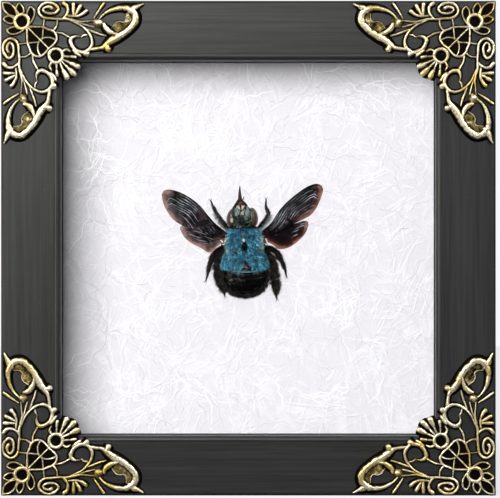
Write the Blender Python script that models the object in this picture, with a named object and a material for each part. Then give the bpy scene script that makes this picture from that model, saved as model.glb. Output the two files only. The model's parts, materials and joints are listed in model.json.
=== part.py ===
"""A blue carpenter bee mounted in a square shadow box with brass openwork corners.

The box stands upright on its bottom rail. The origin is the middle of its footprint, +Z is up, +X is
to the viewer's right and the glass faces -Y. Lengths are in metres, and MM writes one in millimetres.
"""

import math
from dataclasses import dataclass

import bmesh
import bpy
from mathutils import Matrix, Vector

MM = 0.001
GAP = 0.3 * MM
WELD_DISTANCE = 1e-6
SHARP_ANGLE = math.radians(35)

# Frame rails
FRAME_SIZE = 150 * MM
FRAME_DEPTH = 28 * MM
RAIL_WIDTH = 18.2 * MM
LIP_THICKNESS = 4 * MM
REBATE_WIDTH = 4 * MM
OUTER_ARRIS = 1.0 * MM
INNER_ARRIS = 1.6 * MM
ARRIS_STEPS = 3

# Layers behind the lip, front to back
GLASS_THICKNESS = 2 * MM
SPACER_DEPTH = 10.1 * MM
PAPER_THICKNESS = 0.4 * MM
BOARD_THICKNESS = 3 * MM

# Fixings on the back
TAB_SIZE = (14 * MM, 0.6 * MM, 8 * MM)
HANGER_LENGTH = 40 * MM
HANGER_HEIGHT = 9 * MM
HANGER_THICKNESS = 0.8 * MM
HANGER_TEETH = 9
HANGER_TOOTH_DEPTH = 1.6 * MM
HANGER_DROP = 14 * MM

# Corner ornament
RIM_HEIGHT = 1.3 * MM
VEIN_HEIGHT = 1.0 * MM
PLATE_HEIGHT = 0.6 * MM
BALL_RADIUS = 1.6 * MM
BALL_CENTRE = (29.6, 6.8)
BALL_SIDES = (8, 6)
RING_SIDES = 9
MITRE_STRETCH_LIMIT = 1.35

# Planes across the depth, worked out from the sizes above
HALF = FRAME_SIZE / 2
FRONT = BALL_RADIUS + GAP - (FRAME_DEPTH + BALL_RADIUS + GAP) / 2
GLASS_FRONT = FRONT + LIP_THICKNESS + GAP
SPACER_FRONT = GLASS_FRONT + GLASS_THICKNESS + GAP
PAPER_FRONT = SPACER_FRONT + SPACER_DEPTH + GAP
BOARD_FRONT = PAPER_FRONT + PAPER_THICKNESS + GAP
TAB_FRONT = BOARD_FRONT + BOARD_THICKNESS + GAP
REBATE_HALF = HALF - RAIL_WIDTH + REBATE_WIDTH
LAYER_SIZE = 2 * (REBATE_HALF - GAP)

# Bee. Places are mm right of and above the middle of the frame, and heights are over the paper.
WING_THICKNESS = 0.4 * MM
WING_SINK = math.radians(3)
THORAX_CENTRE = (-1.4, 1.45, 4.9)
THORAX_HALF = (5.5, 4.75, 4.2)
THORAX_SQUARENESS = 0.82
THORAX_SIDES = (18, 10)
HEAD_CENTRE = (-1.8, 9.5, 4.4)
HEAD_HALF = (4.3, 2.9, 3.1)
HEAD_SIDES = (14, 8)
EYES = {"left": (-5.1, 9.4, 4.6), "right": (1.5, 9.7, 4.6)}
EYE_HALF = (1.45, 2.8, 2.3)
EYE_LEAN = math.radians(12)
EYE_SIDES = (10, 6)
MUZZLE = ((-1.95, 10.8, 4.2), (-2.4, 14.8, 4.0))
MUZZLE_RADII = (2.9 * MM, 0.7 * MM)
MUZZLE_SIDES = 10
TONGUE = ((-2.4, 15.15, 4.0), (-2.5, 17.2, 3.8), (-2.4, 19.2, 3.4))
TONGUE_RADII = (0.6, 0.35, 0.15)
ABDOMEN_X = -1.2
ABDOMEN_HEIGHT = 4.4
ABDOMEN_FLATNESS = 0.54
ABDOMEN_PROFILE = (
    (-3.65, 5.2),
    (-4.5, 7.2),
    (-7.1, 7.3),
    (-7.2, 7.05),
    (-9.3, 7.35),
    (-9.4, 7.1),
    (-11.3, 6.8),
    (-11.4, 6.55),
    (-12.9, 5.7),
    (-14.0, 3.9),
    (-14.7, 1.8),
)
ABDOMEN_TIP = -14.95
ABDOMEN_SIDES = 18
LIMB_RESOLUTION = 1

WINGS = {
    "bee_forewing_left": (
        6.2,
        (
            (-6.8, 4.3), (-10.6, 7.9), (-12.8, 10.5), (-15.1, 13.3), (-18.1, 15.6), (-21.2, 17.2),
            (-24.0, 17.9), (-25.7, 17.6), (-26.6, 16.1), (-25.9, 13.3), (-24.4, 10.5), (-22.6, 8.4),
            (-19.4, 6.6), (-14.0, 4.6), (-7.2, 2.9),
        ),
    ),
    "bee_hindwing_left": (
        5.4,
        (
            (-7.2, 3.2), (-13.0, 5.3), (-18.5, 6.9), (-20.9, 5.9), (-19.8, 3.6), (-17.7, 1.7),
            (-14.5, 0.0), (-12.4, -1.3), (-11.0, -0.9), (-9.6, 0.6), (-7.4, 1.8),
        ),
    ),
    "bee_forewing_right": (
        6.2,
        (
            (4.0, 4.5), (7.2, 7.9), (9.5, 11.5), (12.0, 14.3), (15.0, 16.8), (17.9, 18.8), (20.7, 19.7),
            (22.3, 19.1), (22.9, 17.7), (22.5, 15.7), (21.5, 13.2), (20.3, 10.7), (18.9, 8.8),
            (15.5, 7.0), (10.0, 5.0), (4.4, 3.2),
        ),
    ),
    "bee_hindwing_right": (
        5.4,
        (
            (4.4, 3.4), (10.0, 5.6), (15.5, 7.8), (18.2, 7.9), (18.4, 6.6), (17.6, 4.9), (16.1, 3.0),
            (13.6, 0.9), (11.4, -0.1), (9.1, -0.2), (7.2, 1.2), (4.6, 2.4),
        ),
    ),
}

# Each leg's joints from the body to the claw, as right, up, height over the paper and radius in mm
LEGS = {
    "bee_front_leg_left": (
        (-5.9, 6.1, 1.6, 0.55), (-7.9, 8.8, 1.5, 0.75), (-10.0, 10.9, 1.3, 0.75),
        (-11.0, 13.1, 1.0, 0.4), (-11.5, 14.6, 0.7, 0.2),
    ),
    "bee_front_leg_right": (
        (2.8, 6.2, 1.6, 0.55), (5.1, 8.8, 1.5, 0.75), (6.1, 10.4, 1.3, 0.7), (5.1, 12.4, 1.0, 0.4),
        (5.4, 15.1, 0.7, 0.2),
    ),
    "bee_middle_leg_left": (
        (-8.0, 0.6, 1.6, 0.6), (-11.0, -1.6, 1.6, 0.85), (-12.5, -5.4, 1.4, 0.8),
        (-12.9, -8.2, 1.0, 0.4), (-13.1, -10.1, 0.7, 0.2),
    ),
    "bee_middle_leg_right": (
        (5.6, 0.8, 1.6, 0.6), (8.7, -0.8, 1.6, 0.8), (10.5, -4.2, 1.4, 0.75), (11.4, -6.6, 1.0, 0.4),
        (11.7, -8.9, 0.7, 0.2),
    ),
    "bee_hind_leg_left": (
        (-8.2, -2.2, 1.5, 0.7), (-10.2, -4.6, 1.5, 1.05), (-10.5, -8.0, 1.5, 1.1),
        (-9.7, -11.2, 1.3, 0.85), (-8.3, -13.4, 1.0, 0.45), (-7.3, -14.8, 0.7, 0.2),
    ),
    "bee_hind_leg_right": (
        (6.0, -2.2, 1.5, 0.7), (7.9, -4.4, 1.5, 0.95), (8.1, -7.2, 1.5, 0.95), (8.7, -11.2, 1.5, 1.25),
        (8.8, -13.6, 1.1, 0.9), (8.7, -15.8, 0.7, 0.2),
    ),
}


@dataclass(frozen=True)
class Strand:
    """One cast bar of a corner ornament.

    route holds its centreline in millimetres from the frame's corner, along one arm and then along the
    other. widths are spread evenly from its start to its end. A closed one has a hole inside its loop.
    """

    route: tuple
    widths: tuple
    height: float = RIM_HEIGHT
    closed: bool = False
    mirrored: bool = True


def circle(centre, radius, sides):
    """Points round a circle."""
    turns = [2 * math.pi * i / sides for i in range(sides)]
    return tuple((centre[0] + radius * math.cos(a), centre[1] + radius * math.sin(a)) for a in turns)


# The bars of one arm. The other arm mirrors them across the corner's diagonal.
ARM_STRANDS = (
    # Spiral and the stem that runs on from it
    Strand(
        (
            (15.6, 2.4), (13.5, 2.3), (14.0, 3.9), (17.0, 3.2), (16.5, 1.3), (13.8, 0.8), (11.5, 2.3),
            (12.6, 5.2), (19.4, 5.6), (25.4, 6.4), (28.6, 6.2),
        ),
        (0.9, 0.65, 0.8, 0.8, 0.8),
    ),
    # Fan of buds above the stem, on a short foot
    Strand(((19.2, 0.8), (20.4, 2.9), (19.3, 5.5)), (1.1, 0.9, 0.7)),
    Strand(((22.0, 0.9), (22.0, 4.7)), (1.0, 0.6)),
    Strand(((24.4, 1.7), (22.6, 4.7)), (1.0, 0.6)),
    Strand(((26.0, 3.1), (20.2, 5.0)), (1.1, 0.7)),
    # Curl that hangs from the stem and ends in a thick crescent
    Strand(
        (
            (19.4, 5.7), (23.6, 7.2), (26.6, 9.5), (27.8, 12.8), (26.3, 15.5), (23.3, 15.7),
            (21.3, 13.4), (22.0, 11.2), (24.2, 11.3),
        ),
        (0.6, 0.8, 0.9, 1.2, 0.5),
    ),
    Strand(((21.6, 15.0), (24.3, 16.9)), (0.9, 0.8)),
    Strand(((25.8, 15.8), (26.3, 16.9)), (1.7, 1.1)),
    # Stems and blade that meet at the ball
    Strand(((25.2, 6.9), (28.4, 7.8)), (0.5, 0.6)),
    Strand(((28.4, 5.6), (31.4, 0.9)), (0.5, 0.9)),
    Strand(((26.4, 9.0), (32.6, 11.0)), (0.6, 0.6)),
    # Teardrop loop at the arm's end, its spur and the tail that returns to the curl
    Strand(
        (
            (30.4, 5.3), (33.2, 3.1), (37.0, 2.1), (40.0, 3.3), (40.7, 6.0), (38.6, 9.1), (35.4, 10.4),
            (32.7, 9.2), (31.0, 7.2),
        ),
        (0.8, 1.2, 1.7, 1.5, 1.2, 1.0, 0.9),
        closed=True,
    ),
    Strand(((39.8, 3.1), (43.1, 1.2)), (1.5, 0.4)),
    Strand(((36.2, 10.6), (33.0, 12.4), (31.0, 14.3), (27.0, 14.9)), (1.3, 1.2, 0.9, 0.8)),
    Strand(((32.5, 13.0), (33.1, 15.2)), (1.2, 0.9)),
    # Upper edge of the lattice leaf, its veins and its ties to the stem and the curl
    Strand(
        ((8.3, 8.3), (12.9, 8.0), (15.5, 9.1), (16.8, 11.3), (16.4, 13.0), (14.4, 14.4)),
        (0.6, 0.8, 0.8, 0.6),
    ),
    Strand(((13.2, 5.4), (12.9, 8.1), (12.4, 12.4)), (0.5, 0.6)),
    Strand(((12.6, 11.4), (16.6, 11.8)), (0.5, 0.6)),
    Strand(((17.2, 5.7), (16.8, 8.0), (15.8, 9.3)), (0.5, 0.7)),
    Strand(((16.2, 9.6), (18.2, 9.8), (21.3, 11.8)), (0.7, 0.6)),
    # Outer rib of the shell and the lobes at the ends of the next two
    Strand(((18.5, 15.6), (20.3, 14.9), (21.2, 15.8)), (0.7, 0.9, 0.4)),
    Strand(((19.6, 16.9), (22.9, 17.5)), (0.7, 1.2), VEIN_HEIGHT),
    Strand(((19.4, 18.4), (23.3, 20.2)), (0.6, 1.9), VEIN_HEIGHT),
)

# The bars and rings that lie on the diagonal
MIDDLE_STRANDS = (
    Strand(circle((6.35, 6.35), 2.1, RING_SIDES), (1.0,), closed=True, mirrored=False),
    Strand(circle((16.7, 16.7), 2.1, RING_SIDES), (0.9,), closed=True, mirrored=False),
    Strand(((7.8, 7.8), (15.2, 15.2)), (0.6, 0.6), mirrored=False),
    Strand(((18.9, 18.9), (22.2, 22.2)), (0.6, 2.0), VEIN_HEIGHT, mirrored=False),
)

# Plates of one arm, and those that cross the diagonal, of which one side is listed
ARM_PLATES = {
    "upper_petal": (((4.5, 4.8), (3.9, 2.6), (5.6, 0.7), (7.7, 2.3), (7.5, 4.4)), RIM_HEIGHT),
    "outer_petal": (((7.6, 4.8), (8.9, 1.8), (10.3, 3.2), (10.0, 5.8), (8.4, 7.2)), RIM_HEIGHT),
    "teardrop_leaf": (
        ((38.2, 3.0), (40.2, 5.6), (36.4, 9.8), (33.2, 9.0), (35.2, 6.5), (37.6, 6.2)),
        PLATE_HEIGHT,
    ),
}
MIDDLE_PLATES = {
    "corner_petal": (((4.9, 4.5), (4.2, 1.6), (0.8, 0.6)), RIM_HEIGHT),
    "lattice_leaf": (
        ((8.3, 8.0), (12.9, 8.0), (15.5, 9.1), (16.8, 11.3), (16.4, 13.0)),
        PLATE_HEIGHT,
    ),
    "shell": (
        ((17.4, 15.2), (20.6, 14.6), (22.8, 16.0), (23.9, 18.6), (23.6, 21.4)),
        PLATE_HEIGHT,
    ),
}


def clear_scene():
    """Removes what the scene already holds."""
    for obj in list(bpy.data.objects):
        bpy.data.objects.remove(obj)


def new_collection(name, hidden=False):
    """A collection under the scene's own."""
    collection = bpy.data.collections.new(name)
    collection.hide_render = hidden
    bpy.context.scene.collection.children.link(collection)
    return collection


def new_material(name, colour, roughness, metallic=0.0, alpha=1.0):
    """A Principled material."""
    material = bpy.data.materials.new(name)
    material.use_nodes = True
    material.diffuse_color = (*colour, alpha)
    shader = material.node_tree.nodes["Principled BSDF"]
    shader.inputs["Base Color"].default_value = (*colour, 1)
    shader.inputs["Roughness"].default_value = roughness
    shader.inputs["Metallic"].default_value = metallic
    shader.inputs["Alpha"].default_value = alpha
    return material


def add_object(name, data, collection, material=None):
    """Links an object that holds this data, with its material."""
    obj = bpy.data.objects.new(name, data)
    collection.objects.link(obj)
    if material:
        data.materials.append(material)
    return obj


def mesh_from(name, bm):
    """Turns a bmesh into mesh data and frees it."""
    bmesh.ops.recalc_face_normals(bm, faces=bm.faces)
    mesh = bpy.data.meshes.new(name)
    bm.to_mesh(mesh)
    bm.free()
    return mesh


def evaluated_mesh(obj):
    """The object's mesh with its curve caps welded and its modifiers applied."""
    bpy.context.view_layer.update()
    graph = bpy.context.evaluated_depsgraph_get()
    mesh = bpy.data.meshes.new_from_object(obj.evaluated_get(graph))
    bm = bmesh.new()
    bm.from_mesh(mesh)
    bmesh.ops.remove_doubles(bm, verts=bm.verts, dist=WELD_DISTANCE)
    bmesh.ops.recalc_face_normals(bm, faces=bm.faces)
    bm.to_mesh(mesh)
    bm.free()
    return mesh


def box_mesh(name, size):
    """A box centred on the origin."""
    bm = bmesh.new()
    bmesh.ops.create_cube(bm, size=1, matrix=Matrix.Diagonal((*size, 1)))
    return mesh_from(name, bm)


def outline_mesh(name, loops, thickness):
    """A flat plate in the XY plane, between 0 and its thickness, from its outline and any hole's."""
    curve = bpy.data.curves.new(name, "CURVE")
    curve.dimensions = "2D"
    curve.fill_mode = "BOTH"
    curve.extrude = thickness / 2
    for loop in loops:
        spline = curve.splines.new("POLY")
        spline.points.add(len(loop) - 1)
        spline.use_cyclic_u = True
        for point, place in zip(spline.points, loop):
            point.co = (*place, 0, 1)
    guide = add_object(name, curve, bpy.context.scene.collection)
    mesh = evaluated_mesh(guide)
    mesh.name = name
    mesh.transform(Matrix.Translation((0, 0, thickness / 2)))
    bpy.data.objects.remove(guide)
    bpy.data.curves.remove(curve)
    return mesh


def joined_mesh(name, meshes, cutters):
    """One solid made of overlapping meshes, joined one after another by exact unions."""
    base = add_object(name, meshes[0], cutters)
    for mesh in meshes[1:]:
        other = add_object(mesh.name, mesh, cutters)
        union = base.modifiers.new("Union", "BOOLEAN")
        union.operation = "UNION"
        union.solver = "EXACT"
        union.object = other
        joined = evaluated_mesh(base)
        base.modifiers.clear()
        base.data = joined
        bpy.data.objects.remove(other)
    result = base.data
    result.name = name
    bpy.data.objects.remove(base)
    for mesh in meshes:
        bpy.data.meshes.remove(mesh)
    return result


def width_along(widths, share):
    """The width at this share of the way, between widths that are spread evenly."""
    place = share * (len(widths) - 1)
    before = min(int(place), max(len(widths) - 2, 0))
    after = min(before + 1, len(widths) - 1)
    return widths[before] + (widths[after] - widths[before]) * (place - before)


def strand_loops(strand):
    """The outline of a strand in metres, and that of its hole when it is closed."""
    points = [Vector(point) for point in strand.route]
    count = len(points)
    left, right = [], []
    for i, point in enumerate(points):
        before = points[i - 1] if strand.closed or i else point
        after = points[(i + 1) % count] if strand.closed or i < count - 1 else point
        along = (after - before).normalized()
        share = i / count if strand.closed else i / (count - 1)
        half = width_along(strand.widths, share) / 2
        inward = (point - before).normalized() if point != before else along
        stretch = MITRE_STRETCH_LIMIT
        if inward.dot(along) > 1 / MITRE_STRETCH_LIMIT:
            stretch = 1 / inward.dot(along)
        side = Vector((-along.y, along.x)) * half * stretch
        left.append((point + side) * MM)
        right.append((point - side) * MM)
    if strand.closed:
        return [left, right]
    return [left + right[::-1]]


def flipped(loops):
    """The same outlines with the two arms exchanged."""
    return [[Vector((y, x)) for x, y in loop] for loop in loops]


def corner_ornament_mesh(cutters):
    """One corner casting, in the XZ plane with its corner at the origin. It stands out along -Y."""
    meshes = []
    for name, (outline, height) in MIDDLE_PLATES.items():
        upper = [Vector(point) * MM for point in outline]
        meshes.append(outline_mesh(name, [upper + flipped([upper])[0][::-1]], height))
    for name, (outline, height) in ARM_PLATES.items():
        loops = [[Vector(point) * MM for point in outline]]
        meshes += [outline_mesh(name, side, height) for side in (loops, flipped(loops))]
    for strand in MIDDLE_STRANDS + ARM_STRANDS:
        loops = strand_loops(strand)
        sides = [loops, flipped(loops)] if strand.mirrored else [loops]
        meshes += [outline_mesh("strand", side, strand.height) for side in sides]
    meshes += [half_ball_mesh(Vector(BALL_CENTRE) * MM), half_ball_mesh(Vector(BALL_CENTRE).yx * MM)]
    ornament = joined_mesh("corner_ornament", meshes, cutters)
    # The arms are drawn rightwards and upwards, and the casting's second arm hangs down.
    ornament.transform(Matrix(((1, 0, 0, 0), (0, 0, -1, 0), (0, -1, 0, 0), (0, 0, 0, 1))))
    ornament.flip_normals()
    return ornament


def half_ball_mesh(place):
    """A half ball that sits on the plane of the ornament's back."""
    bm = bmesh.new()
    segments, rings = BALL_SIDES
    bmesh.ops.create_uvsphere(bm, u_segments=segments, v_segments=rings, radius=BALL_RADIUS)
    bmesh.ops.bisect_plane(
        bm,
        geom=bm.verts[:] + bm.edges[:] + bm.faces[:],
        plane_co=(0, 0, 0),
        plane_no=(0, 0, -1),
        clear_outer=True,
        dist=WELD_DISTANCE,
    )
    rim = [edge for edge in bm.edges if edge.is_boundary]
    bmesh.ops.contextual_create(bm, geom=rim)
    bmesh.ops.translate(bm, verts=bm.verts, vec=(place.x, place.y, 0))
    return mesh_from("ball", bm)


def quarter_turn(steps):
    """Turns clockwise about the frame's middle, as seen from the front."""
    return Matrix.Rotation(steps * math.pi / 2, 4, "Y")


def place_round_frame(name, mesh, collection, steps, place=(0, 0, 0)):
    """Adds a copy of a piece that is modelled about the frame's middle, turned to its own side."""
    obj = add_object(name, mesh, collection)
    to_middle = Matrix.Translation((0, 0, HALF))
    obj.matrix_world = to_middle @ quarter_turn(steps) @ Matrix.Translation(place)
    return obj


def arc(centre, radius, start, end, steps):
    """Points along an arc, with its angles in quarter turns."""
    angles = [math.pi / 2 * (start + (end - start) * i / steps) for i in range(steps + 1)]
    return [(centre[0] + radius * math.cos(a), centre[1] + radius * math.sin(a)) for a in angles]


def rail_mesh(cutters):
    """The bottom rail about the frame's middle: a rebated section along X, mitred at both ends."""
    outer = arc((OUTER_ARRIS, OUTER_ARRIS), OUTER_ARRIS, 2, 3, ARRIS_STEPS)
    inner_centre = (RAIL_WIDTH - INNER_ARRIS, INNER_ARRIS)
    inner = arc(inner_centre, INNER_ARRIS, 3, 4, ARRIS_STEPS)
    rebate = RAIL_WIDTH - REBATE_WIDTH
    corners = [
        (RAIL_WIDTH, LIP_THICKNESS),
        (rebate, LIP_THICKNESS),
        (rebate, FRAME_DEPTH),
        (0, FRAME_DEPTH),
    ]
    section = outline_mesh("rail_section", [outer + inner + corners], FRAME_SIZE)
    # The section is drawn across the rail and backwards, and its thickness becomes the rail's length.
    section.transform(Matrix(((0, 0, 1, -HALF), (0, 1, 0, FRONT), (1, 0, 0, -HALF), (0, 0, 0, 1))))
    rail = add_object("rail_blank", section, cutters)
    reach = 3 * FRAME_SIZE
    for side in (-1, 1):
        cutter = add_object("mitre_cutter", box_mesh("mitre_cutter", (reach, reach, reach)), cutters)
        tilt = Matrix.Rotation(-side * math.pi / 4, 4, "Y")
        cutter.matrix_world = tilt @ Matrix.Translation((side * (reach - GAP) / 2, 0, 0))
        cutter.display_type = "WIRE"
        cutter.hide_render = True
        cut = rail.modifiers.new("Mitre", "BOOLEAN")
        cut.operation = "DIFFERENCE"
        cut.solver = "EXACT"
        cut.object = cutter
    mesh = evaluated_mesh(rail)
    mesh.name = "frame_rail"
    for obj in list(cutters.objects):
        bpy.data.objects.remove(obj)
    return mesh


def build_frame(parts, cutters):
    """The four rails."""
    mesh = rail_mesh(cutters)
    mesh.materials.append(new_material("charcoal_painted_wood", (0.052, 0.057, 0.055), 0.42))
    for steps, side in enumerate(("bottom", "left", "top", "right")):
        place_round_frame(f"frame_rail_{side}", mesh, parts, steps)


def build_layers(parts):
    """The glass, the spacer strips, the backing paper and the backing board, held in the rebate."""
    glass = new_material("glass", (0.9, 0.95, 0.94), 0.03, alpha=0.25)
    paper = new_material("white_fibre_paper", (0.93, 0.92, 0.94), 0.6)
    board = new_material("fibreboard", (0.28, 0.17, 0.09), 0.8)
    layers = (
        ("glass_pane", GLASS_FRONT, GLASS_THICKNESS, glass),
        ("backing_paper", PAPER_FRONT, PAPER_THICKNESS, paper),
        ("backing_board", BOARD_FRONT, BOARD_THICKNESS, board),
    )
    for name, front, thickness, material in layers:
        sheet = add_object(name, box_mesh(name, (LAYER_SIZE, thickness, LAYER_SIZE)), parts, material)
        sheet.location = (0, front + thickness / 2, HALF)
    thickness = REBATE_WIDTH - GAP
    strip = box_mesh("spacer", (LAYER_SIZE - thickness - GAP, SPACER_DEPTH, thickness))
    strip.materials.append(new_material("black_painted_wood", (0.03, 0.03, 0.03), 0.7))
    along = -(thickness + GAP) / 2
    down = -(LAYER_SIZE - thickness) / 2
    for steps, side in enumerate(("bottom", "left", "top", "right")):
        place = (along, SPACER_FRONT + SPACER_DEPTH / 2, down)
        place_round_frame(f"spacer_{side}", strip, parts, steps, place)


def build_fixings(parts):
    """The tabs that hold the board in, and the serrated hanging plate on the board."""
    steel = new_material("zinc_plated_steel", (0.55, 0.55, 0.53), 0.35, 1.0)
    tab = box_mesh("board_tab", TAB_SIZE)
    tab.materials.append(steel)
    _, tab_thickness, tab_reach = TAB_SIZE
    place = (0, TAB_FRONT + tab_thickness / 2, -(REBATE_HALF - GAP - tab_reach / 2))
    for steps, side in enumerate(("bottom", "left", "top", "right")):
        place_round_frame(f"board_tab_{side}", tab, parts, steps, place)
    half = HANGER_LENGTH / 2
    tooth = HANGER_LENGTH / HANGER_TEETH
    lower = -HANGER_HEIGHT / 2
    edge = []
    for i in range(HANGER_TEETH):
        edge += [(-half + i * tooth, lower), (-half + (i + 0.5) * tooth, lower + HANGER_TOOTH_DEPTH)]
    outline = edge + [(half, lower), (half, -lower), (-half, -lower)]
    plate = outline_mesh("hanging_plate", [outline], HANGER_THICKNESS)
    plate.transform(Matrix.Rotation(math.pi / 2, 4, "X"))
    hanger = add_object("hanging_plate", plate, parts, steel)
    top = HALF + REBATE_HALF - HANGER_DROP - HANGER_HEIGHT / 2
    hanger.location = (0, TAB_FRONT + HANGER_THICKNESS, top)


def build_ornaments(parts, cutters):
    """The four brass corners."""
    mesh = corner_ornament_mesh(cutters)
    mesh.materials.append(new_material("antique_brass", (0.42, 0.33, 0.14), 0.35, 1.0))
    corners = ("top_left", "top_right", "bottom_right", "bottom_left")
    for steps, corner in enumerate(corners):
        place_round_frame(f"corner_ornament_{corner}", mesh, parts, steps, (-HALF, FRONT - GAP, HALF))


def on_paper(right, up, height=0.0):
    """A place on the bee, given in millimetres from the middle of the frame and over the paper."""
    return Vector((right * MM, PAPER_FRONT - height * MM, HALF + up * MM))


def ellipsoid_mesh(name, centre, half, sides, lean=0.0, squareness=1.0):
    """A ball stretched to its half sizes to the right, upwards and towards the viewer.

    A squareness under 1 swells it towards the box that holds it.
    """
    bm = bmesh.new()
    bmesh.ops.create_uvsphere(bm, u_segments=sides[0], v_segments=sides[1], radius=1)
    for vert in bm.verts:
        vert.co = [math.copysign(abs(side) ** squareness, side) for side in vert.co]
    stretch = Matrix.Diagonal((half[0] * MM, half[2] * MM, half[1] * MM, 1))
    place = Matrix.Translation(on_paper(*centre)) @ Matrix.Rotation(lean, 4, "Y")
    bm.transform(place @ stretch)
    return mesh_from(name, bm)


def cone_mesh(name, start, end, radii, sides):
    """A cone between two places on the bee."""
    start, end = on_paper(*start), on_paper(*end)
    bm = bmesh.new()
    length = (end - start).length
    bmesh.ops.create_cone(
        bm, cap_ends=True, segments=sides, radius1=radii[0], radius2=radii[1], depth=length
    )
    turn = (end - start).to_track_quat("Z", "Y").to_matrix().to_4x4()
    bm.transform(Matrix.Translation((start + end) / 2) @ turn)
    return mesh_from(name, bm)


def limb_mesh(name, points, radii):
    """A round bar through these places, as thick at each as its radius in millimetres."""
    curve = bpy.data.curves.new(name, "CURVE")
    curve.dimensions = "3D"
    curve.bevel_depth = MM
    curve.bevel_resolution = LIMB_RESOLUTION
    curve.use_fill_caps = True
    spline = curve.splines.new("POLY")
    spline.points.add(len(points) - 1)
    for point, place, radius in zip(spline.points, points, radii):
        point.co = (*place, 1)
        point.radius = radius
    guide = add_object(name, curve, bpy.context.scene.collection)
    mesh = evaluated_mesh(guide)
    mesh.name = name
    bpy.data.objects.remove(guide)
    bpy.data.curves.remove(curve)
    return mesh


def abdomen_mesh():
    """The abdomen: rings down the body, flattened front to back, with a step at each plate's edge."""
    bm = bmesh.new()
    rings = []
    for up, half in ABDOMEN_PROFILE:
        deep = half * ABDOMEN_FLATNESS
        ring = []
        for i in range(ABDOMEN_SIDES):
            angle = 2 * math.pi * i / ABDOMEN_SIDES
            right = ABDOMEN_X + half * math.cos(angle)
            ring.append(bm.verts.new(on_paper(right, up, ABDOMEN_HEIGHT + deep * math.sin(angle))))
        rings.append(ring)
    edges = []
    for ring in rings:
        edges.append([bm.edges.new((ring[i - 1], ring[i])) for i in range(ABDOMEN_SIDES)])
    for upper, lower in zip(edges, edges[1:]):
        bmesh.ops.bridge_loops(bm, edges=upper + lower)
    bmesh.ops.contextual_create(bm, geom=edges[0])
    tip = bm.verts.new(on_paper(ABDOMEN_X, ABDOMEN_TIP, ABDOMEN_HEIGHT))
    for edge in edges[-1]:
        bm.faces.new((*edge.verts, tip))
    return mesh_from("bee_abdomen", bm)


def wing_mesh(name, height, outline):
    """A flat wing that sinks a little towards its tip, hinged on its inner end."""
    wing = outline_mesh(name, [[Vector(point) * MM for point in outline]], WING_THICKNESS)
    root = Vector(outline[0])
    side = 1 if root.x > 0 else -1
    stand = Matrix.Rotation(math.pi / 2, 4, "X")
    sink = Matrix.Rotation(-side * WING_SINK, 4, "Z")
    hinge = Matrix.Translation((root.x * MM, 0, 0))
    place = Matrix.Translation(on_paper(0, 0, height))
    wing.transform(place @ hinge @ sink @ hinge.inverted() @ stand)
    return wing


def build_bee(parts, cutters):
    """The bee, with its back to the glass and its tongue pointing up."""
    chitin = new_material("black_chitin", (0.012, 0.011, 0.013), 0.3)
    blue_hair = new_material("blue_hair", (0.06, 0.24, 0.33), 0.85)
    face = new_material("grey_haired_face", (0.16, 0.2, 0.19), 0.7)
    membrane = new_material("smoky_wing", (0.06, 0.045, 0.055), 0.3)
    thorax = ellipsoid_mesh(
        "bee_thorax", THORAX_CENTRE, THORAX_HALF, THORAX_SIDES, squareness=THORAX_SQUARENESS
    )
    add_object("bee_thorax", thorax, parts, blue_hair)
    pieces = [
        ellipsoid_mesh("head_middle", HEAD_CENTRE, HEAD_HALF, HEAD_SIDES),
        cone_mesh("muzzle", *MUZZLE, MUZZLE_RADII, MUZZLE_SIDES),
    ]
    for side, lean in (("left", EYE_LEAN), ("right", -EYE_LEAN)):
        pieces.append(ellipsoid_mesh(f"eye_{side}", EYES[side], EYE_HALF, EYE_SIDES, lean))
    add_object("bee_head", joined_mesh("bee_head", pieces, cutters), parts, face)
    tongue = limb_mesh("bee_tongue", [on_paper(*place) for place in TONGUE], TONGUE_RADII)
    add_object("bee_tongue", tongue, parts, chitin)
    add_object("bee_abdomen", abdomen_mesh(), parts, chitin)
    for name, (height, outline) in WINGS.items():
        add_object(name, wing_mesh(name, height, outline), parts, membrane)
    for name, joints in LEGS.items():
        places = [on_paper(*joint[:3]) for joint in joints]
        leg = limb_mesh(name, places, [joint[3] for joint in joints])
        add_object(name, leg, parts, chitin)


def main():
    """Builds the whole object."""
    clear_scene()
    parts = new_collection("framed_bee")
    cutters = new_collection("cutters", hidden=True)
    build_frame(parts, cutters)
    build_layers(parts)
    build_fixings(parts)
    build_ornaments(parts, cutters)
    build_bee(parts, cutters)
    for obj in parts.objects:
        obj.data.shade_smooth()
        obj.data.set_sharp_from_angle(angle=SHARP_ANGLE)


main()
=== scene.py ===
"""A blue carpenter bee in a glazed shadow box with brass corners: its fine shapes, finishes and studio."""

import json
import logging
import math
from abc import ABC, abstractmethod
from collections.abc import Callable, Sequence
from dataclasses import dataclass
from enum import Enum
from functools import cache, cached_property

import bmesh
import bpy
import numpy as np
from mathutils import Matrix, Vector, noise
from mathutils.bvhtree import BVHTree

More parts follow.
